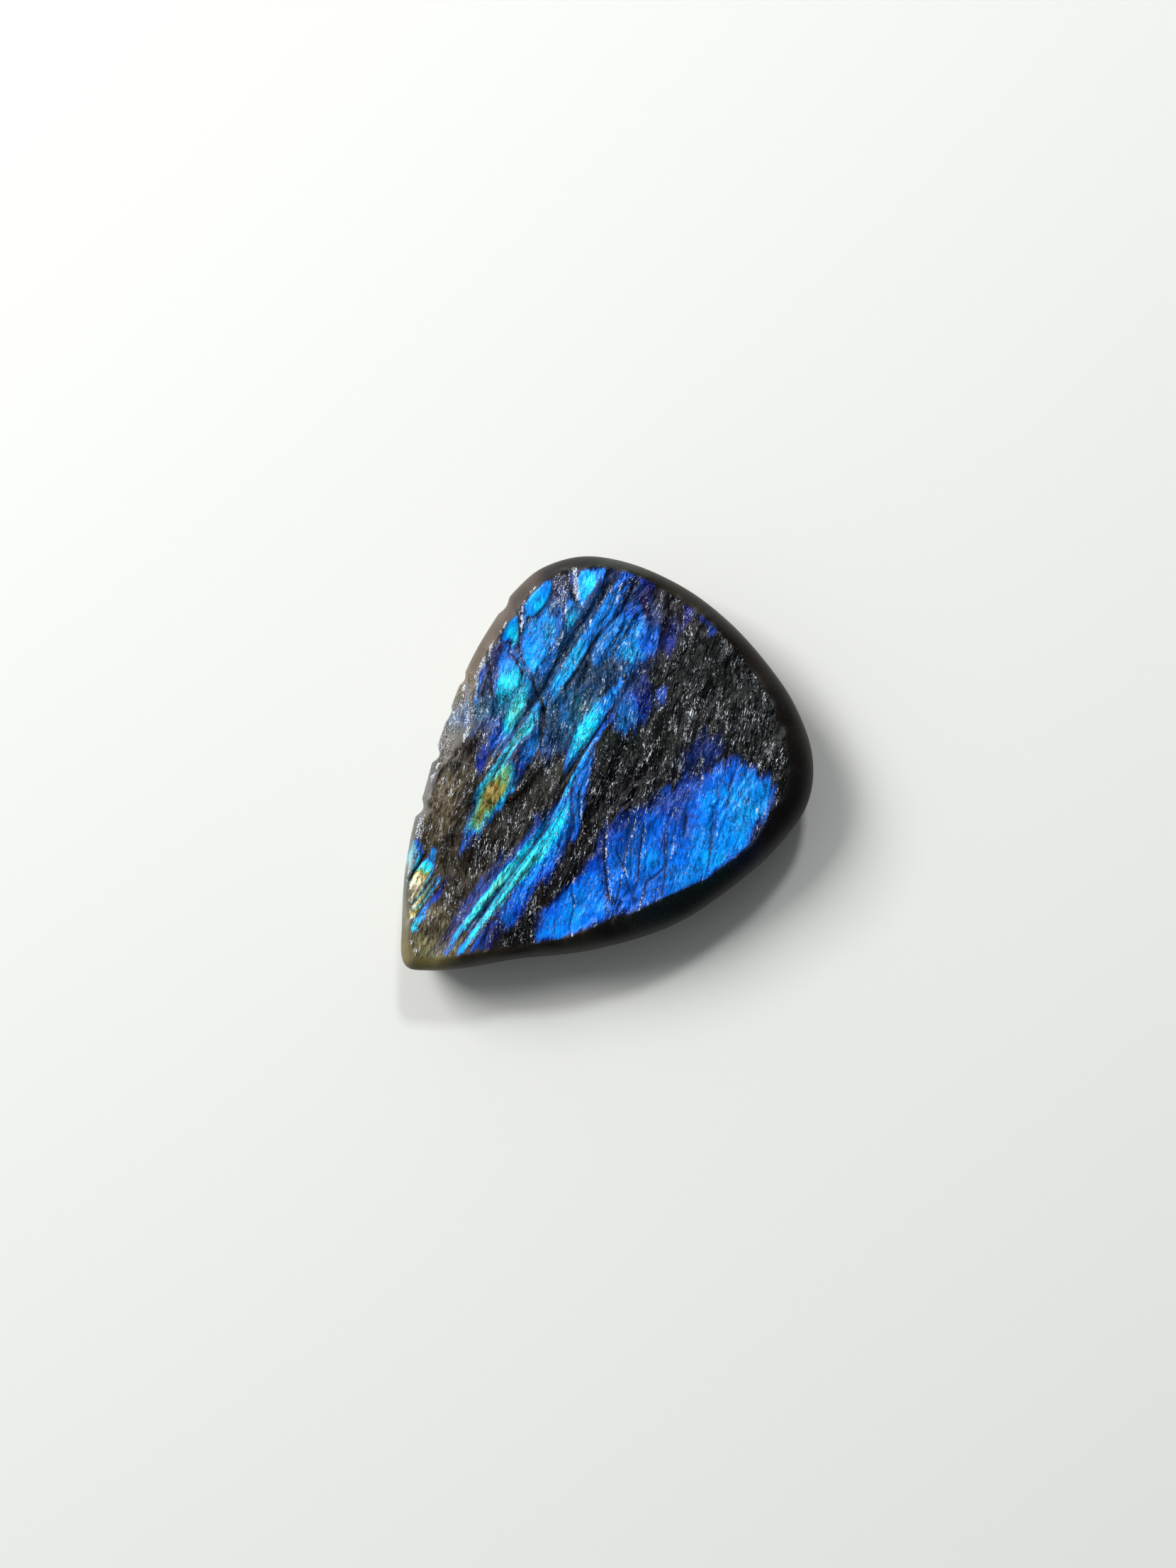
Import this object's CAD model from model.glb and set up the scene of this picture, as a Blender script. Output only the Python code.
"""Looks of the rough labradorite chunk: the stone's fine surface, its flash, and a plain studio.

The design is in millimetres and the scene in metres. +Z is up, the point of the drop looks along -Y,
and the stone lies with its sawn back on the floor.
"""

import math
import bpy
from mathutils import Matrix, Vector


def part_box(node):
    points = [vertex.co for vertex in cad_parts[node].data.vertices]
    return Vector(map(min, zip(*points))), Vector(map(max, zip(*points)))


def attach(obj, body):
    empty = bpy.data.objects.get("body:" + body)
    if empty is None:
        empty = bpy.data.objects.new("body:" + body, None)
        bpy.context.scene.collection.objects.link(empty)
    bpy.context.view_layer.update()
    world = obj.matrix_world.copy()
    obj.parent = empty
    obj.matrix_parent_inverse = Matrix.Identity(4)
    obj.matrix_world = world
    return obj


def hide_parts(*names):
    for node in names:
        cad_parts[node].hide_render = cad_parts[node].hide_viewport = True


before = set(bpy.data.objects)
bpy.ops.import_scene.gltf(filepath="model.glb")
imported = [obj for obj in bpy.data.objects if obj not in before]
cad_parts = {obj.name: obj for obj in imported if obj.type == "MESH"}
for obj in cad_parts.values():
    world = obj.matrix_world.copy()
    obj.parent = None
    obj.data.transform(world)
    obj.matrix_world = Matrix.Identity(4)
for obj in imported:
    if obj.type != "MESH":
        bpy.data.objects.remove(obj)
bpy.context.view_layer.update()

from types import SimpleNamespace

import bpy
import numpy as np
from mathutils import Vector
from mathutils.geometry import delaunay_2d_cdt

MM = 0.001
NODE = "labradorite_chunk"
STONE_LOW, STONE_HIGH = (np.array(corner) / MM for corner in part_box(NODE))
WIDTH, LENGTH, THICKNESS = STONE_HIGH - STONE_LOW
MIDDLE = (STONE_LOW + STONE_HIGH)[:2] / 2

# Parts of the stone's surface
FACE, RIM, SIDE, BACK = range(4)

# Heights and the rim's section
GIRDLE_HEIGHT = 4.3
FACE_HEIGHT = 6.35
FACE_DOME = 0.35
DOME_TOP_Y = 2
TIP_THINNING = 0.75
TIP_START = -5.0
TIP_END = -17.8
BACK_INSET = 1.25
INSET_CURVE = 1.6
BACK_ROUND = 0.55
RIM_ARC = math.radians(62)
WALL_WAVE = 0.10
WALL_WAVE_SIZE = 4.2

# Mesh density
OUTLINE_SAMPLES = 760
SPLINE_STEPS = 60
RIM_STEPS = 13
WALL_STEPS = 9
BACK_STEPS = 3
ACROSS_SPACING = 0.078
ALONG_SPACING = 0.125
SPACING_SHIFT = 0.18
BACK_SPACING = 0.6
BACK_SHIFT = 0.1
LATTICE_REACH = 0.56
EDGE_CLEARANCE = 0.055
MERGE_DISTANCE = 1e-6
EVEN_REACH = 14
NORMAL_REACH = 4
RIM_BLEND = 0.45
RING_SHARE = 3

# Outline seen from above, anticlockwise from the point of the drop
OUTLINE = [
    (0.45, -17.8), (1.5, -17.05), (3.2, -15.2), (5.8, -11.5), (8.7, -7.9), (11.1, -4), (12.6, -0.4),
    (13.4, 4), (13.65, 8), (13, 12), (10.7, 14.9), (7, 16.7), (3, 17.45), (-1, 17.6), (-5, 17.05),
    (-9, 15.55), (-12, 13.4), (-13.6, 10.6), (-13.85, 8), (-13.6, 6.3), (-12.85, 3), (-11.85, 0.1),
    (-10.5, -2.9), (-9.2, -5.5), (-7.9, -7.8), (-6.9, -9.8), (-4.6, -13.1), (-2, -16), (-0.6, -17.45),
]

# Width of the ground rim, by the point of the outline that it is nearest to
RIM_WIDTHS = [
    ((0.4, -17.8), 0.85), ((3.2, -15.2), 1), ((5.8, -11.5), 0.9), ((7.6, -9.3), 1.1), ((9.1, -7.3), 1.5),
    ((10.5, -5), 1.95), ((12.6, -0.4), 2.1), ((13.3, 3), 1.6), ((13.65, 7), 1.5), ((13.4, 10), 2),
    ((10.7, 14.9), 1.9), ((5, 17.1), 1.3), ((0, 17.6), 1.05), ((-5, 17.05), 0.95), ((-9, 15.5), 0.7),
    ((-12, 13.4), 0.95), ((-13.8, 8.5), 1.05), ((-13.1, 4.2), 0.95), ((-12.2, 1), 0.9), ((-11.4, -1), 1.5),
    ((-10.8, -2.3), 2), ((-10.1, -3.7), 1.7), ((-9.4, -5.1), 0.9), ((-8.2, -7.2), 0.55),
    ((-6.5, -10.4), 0.45), ((-4.4, -13.4), 0.32), ((-2.2, -15.8), 0.5),
]

# Nicks in the left edge: place, radius, depth
NICKS = [
    ((-13.7, 6.6), 0.8, 0.18), ((-12.05, 0.5), 0.6, 0.2), ((-11.15, -2.2), 0.8, 0.22),
    ((-9.5, -5), 0.7, 0.38), ((-7.6, -8.7), 0.8, 0.38),
]

# Stretches of the left rim that are broken and rough, not ground, and how far the damage reaches
BROKEN_RIM = [
    (-11.6, -0.3), (-10.6, -2.2), (-9.9, -4.2), (-9.2, -5.4),
]
ROUGH_RIM = [
    (-9.2, -5.4), (-7.4, -8.8), (-5.8, -11.2),
]
BROKEN_REACH, BROKEN_FADE = 1.1, 1.0
ROUGH_REACH, ROUGH_FADE = 0.7, 0.9
ROUGH_SHARE = 0.35
BROKEN_INSET, BROKEN_WEAR = 0.10, 0.9

# How low the break reaches, by place along Y
BREAK_FLOOR = [
    (-12, 4.6), (-6, 4.5), (-4.5, 3.9), (-3, 3.7), (-1.6, 4.5), (0, 5.2), (1, 5.4),
]
FLOOR_FADE = 0.6

# Grain of the split face: the layers run down to the right, the splinters a little flatter
LAYER_TURN = math.radians(13)
SPLINTER_TURN = math.radians(32)
RIPPLE_TURN = math.radians(58)

# Relief in millimetres: size across the grain, size along it, height
WIDE_RIDGES = (3.1, 13, 0.26)
NARROW_RIDGES = (1.3, 7, 0.14)
COARSE_SPLINTERS = (0.75, 2.4, 0.10)
SHORT_SPLINTERS = (0.6, 1.1, 0.06)
WIDE_RIBS = (0.62, 9, 0.10)
NARROW_RIBS = (0.27, 6, 0.05)
BREAKS = (0.9, 0.8, 0.24)
GROUND_WAVES = (1.3, 1.7, 0.02)
RIPPLE_BEND = (1.4, 1.7, 0.5)
RIPPLE_SIZE = (0.42, 2.2)
RIPPLE_HEIGHT = 0.13
RIPPLE_GRAIN = (0.25, 0.5, 0.04)
SPLINTER_BEND = (2.7, 4.1, 0.5)
SMALL_BEND = (0.8, 1.6, 0.12)
RIB_BEND = (1.6, 6, 0.04)
TERRACE_SIZE = (2.3, 5.5, 1.6)
TERRACE_SLOPE = 0.4
TERRACE_HEIGHT = 0.17
TERRACE_RISE = 0.35

# Flat splinters: width, length, seed shift and height, and how they vary
FLAT_SPLINTERS = [(0.55, 2.1, 30, 0.055), (0.27, 1.0, 60, 0.030)]
SPLINTER_SHIFT = 0.42
SPLINTER_LIFT = 0.5
SPLINTER_DIP = 0.6

# How much calm faces and ribbed places lose of the other relief
LAYERS_CALMED = 0.85
SPLINTERS_CALMED = 0.9
SPLINTERS_RIBBED = 0.55

# Steps in the split face, low on the right of the line's way: drop, how far the low side reaches
SCARPS = {
    "upper left scarp": ([(-12, 12), (-11.2, 11), (-10.3, 10.75), (-9.5, 10.4)], 0.34, 2.2),
    "upper left edge": ([(-11, 10.6), (-9.8, 9.4), (-9.1, 8.6), (-8.4, 7.2)], 0.2, 1.4),
    "leaf edge": ([(-12.7, 7.3), (-11.9, 6.7), (-10.8, 5.6), (-9.9, 4.7)], 0.28, 1.6),
    "left crack edge": ([(-12, 3.6), (-11.2, 2.9), (-10, 1.9), (-8.9, 1)], 0.34, 2.4),
    "long scarp": ([(-6.9, 5.2), (-5.9, 3.6), (-4.9, 2.2), (-4, 1), (-3.4, -0.8), (-3, -3)], 0.34, 2),
    "upper blue edge": ([(-2.6, 11.3), (-1.6, 10.3), (-0.9, 10), (-0.3, 9.1)], 0.16, 1.2),
    "sheet scarp": ([(3.6, 0.5), (4.1, -0.3), (4.9, -1.15), (5.6, -1.8), (6.3, -2.35), (7.1, -2.95),
        (8.2, -3.7)], 0.36, 3.2),
    "right crack": ([(5, 3), (6.1, 1.55), (6.9, 0.55), (7.5, -0.1), (8.3, -1.1)], 0.26, 1.5),
    "right inner crack": ([(4.3, 2.7), (5.2, 1.6), (5.7, 0.5), (6.3, -0.5), (6.9, -1.4)], 0.2, 1),
    "right outer crack": ([(6.7, 3.9), (7.1, 3), (7.7, 2.4), (8.7, 1.5), (9.4, 0.7), (10.1, -0.3),
        (10.5, -1)], 0.2, 1.4),
    "upper right edge": ([(5, 9.1), (5.5, 8.1), (6.1, 8), (6.6, 7.1)], 0.18, 1.3),
    "top right ridge": ([(4.3, 16.1), (5, 15.3), (5.9, 14.5)], 0.16, 1.2),
}
STEP_RAMP = 0.16
LIP_SHARE = 0.25
LIP_REACH = 0.6
LINE_TAPER = 0.15

# Grooves between the layers: half width, depth
GROOVES = {
    "left gully": ([(-9.1, 14.6), (-8.7, 12.4), (-8.3, 9.7), (-7.8, 7), (-7.1, 4.9), (-6.6, 2.6),
        (-6.2, -0.4)], 0.5, 0.22),
    "gap": ([(-6, 3.5), (-5.1, 2.5), (-4.3, 1.5)], 0.45, 0.4),
    "upper gully": ([(-7.9, 14.9), (-7.3, 13.6), (-6.3, 12)], 0.4, 0.22),
    "second gully": ([(-7, 10.4), (-6.5, 9), (-5.6, 7.3), (-4.8, 6.2)], 0.45, 0.26),
    "middle groove": ([(-2.1, 6.6), (-1.7, 3.9), (-1.2, 1.3), (-0.3, -0.8), (0.5, -3.2), (1.05, -7),
        (1.5, -9.6), (2.2, -13.8)], 0.42, 0.34),
    "side groove": ([(-1.05, 2.3), (-0.4, 0.7), (0.6, -0.3), (1.8, -1.3), (2.5, -2.6)], 0.38, 0.24),
    "left dark line": ([(-11.9, 3.5), (-11.2, 2.9), (-10.3, 2.1)], 0.34, 0.26),
    "right dark patch": ([(7.9, 7.1), (8.6, 6.6), (9.5, 5.4)], 0.45, 0.24),
    "lower right groove": ([(2.4, -10.2), (2.8, -11.6), (3.9, -12.9)], 0.34, 0.18),
    "lower left groove": ([(-4.5, -10.4), (-4.15, -12), (-3.8, -13.2)], 0.32, 0.2),
    "tip groove": ([(-2.9, -12), (-2.5, -14.2)], 0.3, 0.14),
    "brown pit": ([(-4.1, -8.1), (-3.3, -9)], 0.5, 0.26),
    "top pit": ([(1.3, 16), (1.6, 14.8)], 0.5, 0.26),
}

# Fine cracks: half width, darkness
CRACKS = {
    "top face foot": ([(-11.8, 11.7), (-11.1, 11.1), (-10.35, 10.85), (-9.75, 10.5), (-9.2, 10)], 0.15, 1),
    "leaf right": ([(-11.5, 9.3), (-11.25, 8.5), (-11.3, 7.5), (-11.6, 7.15), (-11.1, 7.1)], 0.1, 0.8),
    "leaf foot": ([(-12.6, 7.6), (-12, 7), (-11.5, 6.45), (-11, 5.8), (-10.7, 5.4)], 0.12, 1),
    "small face right": ([(-10.8, 5.6), (-11.1, 5), (-11.5, 4.6), (-12.1, 4.8)], 0.1, 0.8),
    "face joint": ([(-10.3, 7.5), (-10.45, 6.6), (-10.9, 6.1)], 0.08, 0.6),
    "cyan face top": ([(-11.2, 4.35), (-10.4, 4.4), (-9.7, 4.25), (-8.9, 3.95), (-8.4, 3.3)], 0.1, 1),
    "cross crack": ([(-8.4, 4.5), (-7.75, 4.05), (-7.2, 3.7), (-6.4, 3.55), (-5.85, 3.2), (-5.2, 2.6),
        (-4.5, 1.7)], 0.14, 1),
    "violet crack": ([(-11.95, 3.4), (-11.3, 2.9), (-10.6, 2.3), (-9.9, 1.7)], 0.15, 0.9),
    "gully dark": ([(-9, 14.6), (-8.7, 12.4), (-8.3, 9.7), (-7.8, 7), (-7.1, 4.9), (-6.6, 2.6), (-6.2, -0.4),
        (-5.9, -2)], 0.24, 0.5),
    "ribbon right": ([(-7.4, 14), (-6.9, 12.3), (-6.9, 10.6), (-6.7, 8.9), (-6.2, 7.3), (-5.9, 5.6),
        (-5.5, 4.9)], 0.18, 0.75),
    "sheet line": ([(4.9, -0.1), (5.5, -0.45), (6, -0.65), (6.8, -1), (7.6, -1.5), (8.1, -1.8),
        (8.9, -1.9)], 0.12, 0.8),
    "sheet foot": ([(6.9, -1.4), (7.3, -1.9), (7.8, -2.7), (8.2, -3.6)], 0.11, 0.9),
    "outer line": ([(8.7, 1.3), (8.8, 0.5), (8.6, -0.3), (8.9, -1), (9.3, -1.7), (9.7, -2.4)], 0.13, 0.9),
    "first crack": ([(3.9, 2.4), (4.3, 1.6), (4.5, 0.9)], 0.1, 0.6),
    "corner crack": ([(7.9, -0.6), (8.4, -1.4), (8.7, -1.9)], 0.12, 0.8),
    "patch joint": ([(-4.55, -10.2), (-4.36, -11.2), (-4.18, -12.2), (-3.95, -13.3)], 0.16, 0.95),
    "strand joint": ([(-3.3, -11.2), (-3.05, -12.4), (-2.7, -13.8)], 0.1, 0.7),
    "outer shadow": ([(7, 3.2), (7.7, 2.5), (8.6, 1.7), (9.2, 0.8)], 0.2, 0.7),
    "corner shadow": ([(8, -1.2), (8.6, -1.8), (9.3, -2.3)], 0.25, 0.6),
    "upper outer line": ([(7, 5.5), (7.6, 4.6), (8.3, 3.8)], 0.2, 0.75),
    "dark patch line": ([(8.2, 7.2), (9, 6.4), (9.6, 5.6), (10, 4.9), (10.5, 4.2)], 0.2, 0.75),
    "rim line": ([(10.1, 4.9), (10.8, 3.9), (11.4, 3.2)], 0.13, 0.7),
    "finger line": ([(7.3, 10.1), (8, 9), (8.7, 8), (9.1, 7.2)], 0.18, 0.6),
    "finger foot": ([(7, 9), (7.4, 8.3), (8, 7.5)], 0.15, 0.45),
    "small upright": ([(8.8, 1.4), (8.75, 0.9), (8.6, 0.2)], 0.08, 0.6),
    "upper white foot": ([(6, 8), (6.3, 7.5), (6.6, 7.1)], 0.08, 0.7),
    "lower sheet crack": ([(4.7, -4.3), (5.1, -4.9), (5.9, -5.35), (6.4, -6.1), (6.9, -6.9), (7.3, -7.3),
        (7.6, -7.5)], 0.12, 0.8),
    "lower sheet upright": ([(6.15, -3.6), (6.25, -4.4), (6.35, -5.3)], 0.07, 0.6),
    "lower sheet foot": ([(5, -6.3), (5.6, -7), (6, -7.6), (6.3, -7.8), (6.6, -8.3)], 0.1, 0.7),
    "lower sheet fork": ([(6.4, -7), (6.05, -7.6), (5.8, -8.5)], 0.08, 0.6),
    "middle right": ([(0.6, 1.4), (1.4, 0.6), (2.2, -0.6), (2.9, -2.3)], 0.09, 0.5),
    "strand line": ([(-2.5, 8), (-2.2, 6.4), (-1.94, 5), (-1.5, 3), (-1.1, 1.6), (-0.7, 0.3),
        (-0.3, -1)], 0.09, 0.95),
    "long strand line": ([(0.2, -1.2), (0.5, -2.6), (0.78, -4.4), (1, -6.2), (1.2, -8.2), (1.42, -10.2),
        (1.6, -12), (1.95, -14.6)], 0.11, 1),
    "low strand line": ([(1, -8), (1.2, -9.6), (1.42, -11.4), (1.75, -13.6)], 0.08, 0.8),
    "outer strand line": ([(1.6, -4), (1.75, -6), (1.95, -8.4), (2.2, -10.8), (2.45, -13)], 0.06, 0.8),
}
CRACK_WIDTH = 1.2
CRACK_DEPTH = 0.6

# Where the layers broke into long straight ribs: two curves that the ribs follow, and the ribbed areas
LEFT_RIB = [
    (-9.3, 13), (-8.5, 11.5), (-8.15, 10), (-7.75, 8.1), (-7.3, 5.6), (-6.8, 4.1), (-6.5, 2), (-6.2, 0.2),
    (-5.85, -1.5), (-5.2, -5), (-4.5, -9), (-4, -11.5), (-3.2, -14), (-2.4, -16.5),
]
MIDDLE_RIB = [
    (-3.4, 13), (-2.7, 9), (-2.1, 6.6), (-1.7, 3.9), (-1.2, 1.3), (-0.3, -0.8), (0.5, -3.2), (1.05, -7),
    (1.5, -9.6), (2.2, -13.8), (2.6, -16.5),
]
RIB_SPAN = 5.0
RIB_FADE = 0.9
RIBBED = {
    "left": [(-9.4, 13.4), (-8.2, 15.4), (-6.4, 15.2), (-4.6, 13.2), (-4.4, 10), (-5, 6), (-5, 3),
        (-4.6, -2), (-4.6, -4.6), (-5.6, -4), (-6.6, -1.5), (-8, 2.5), (-8.3, 6.5), (-8.9, 10)],
    "middle": [(-3.5, 8.8), (-1.6, 7), (-0.9, 3.2), (-0.1, 0.6), (1.7, -0.4), (2.6, -4), (2.6, -9.5),
        (3.3, -13.4), (2.4, -15), (0.9, -15.4), (-0.3, -8.5), (-0.4, -3), (-1, -0.6), (-2.2, 1.6),
        (-3.2, 4.6)],
    "lower left": [(-5.4, -10.4), (-4, -10.2), (-1.7, -10.8), (-0.9, -15.6), (-2.2, -15.4), (-4.6, -12.9)],
}

# Smooth cleavage faces: outline, tilt towards +X and +Y in mm per mm, lift, calmness, softness of the edge
FACETS = {
    "top left face": ([(-11.8, 12.2), (-10.2, 13.8), (-9.7, 12.5), (-9.2, 11), (-9.4, 10.5),
        (-11, 11.3)], 0.05, -0.04, 0.1, 0.85, 0.35),
    "leaf face": ([(-12.6, 9.8), (-12, 10.2), (-11.2, 9), (-11.3, 7.2),
        (-12.4, 7.6)], -0.08, 0.02, 0.06, 0.85, 0.35),
    "small face": ([(-12.5, 7), (-11.1, 6), (-11.3, 4.8), (-11.9, 4.7)], -0.05, 0.06, 0, 0.85, 0.35),
    "middle face": ([(-11.1, 7.1), (-9.4, 7.2), (-8.5, 5.6), (-8.5, 4.2), (-9.6, 4.7),
        (-10.7, 5.8)], 0.06, 0.03, 0.05, 0.75, 0.45),
    "cyan face": ([(-11.1, 4.1), (-9.3, 4.1), (-8.4, 3.2), (-8.6, 2.1), (-9.6, 2.1),
        (-10.6, 2.9)], 0.08, -0.06, 0.04, 0.75, 0.45),
    "right sheet": ([(4.4, -1.2), (6.2, -2.8), (8.1, -4.6), (7.2, -7.6), (6, -9.3), (4.9, -8.2),
        (4.6, -4)], -0.04, 0.02, -0.05, 0.7, 0.5),
    "right upper sheet": ([(6.9, 9.9), (9, 11), (10.6, 10.6), (11.2, 8.2), (12, 6.6), (11.8, 4), (11.2, 1.2),
        (10.3, -1.2), (9.2, -2.8), (7.6, -2.8), (5.4, -1.2), (4.3, 0.3), (5, 2.6), (5.4, 5),
        (5.8, 7.4)], -0.03, -0.01, 0, 0.62, 1.2),
}

SEED = 7
NOISE_SIZE = 128

# Colour of the flash along its tone, from violet through blue and cyan to gold and cream, in sRGB
TONES = [
    (0, (60, 50, 188)), (0.05, (34, 30, 134)), (0.1, (8, 24, 124)), (0.16, (0, 44, 164)),
    (0.23, (0, 82, 222)), (0.31, (0, 116, 250)), (0.42, (0, 150, 255)), (0.54, (10, 208, 255)),
    (0.64, (64, 230, 244)), (0.72, (112, 220, 180)), (0.8, (128, 160, 92)), (0.87, (182, 156, 72)),
    (0.93, (242, 222, 158)), (1, (255, 246, 214)),
]

# Tone where no flash is
PLAIN_TONE = 0.2

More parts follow.
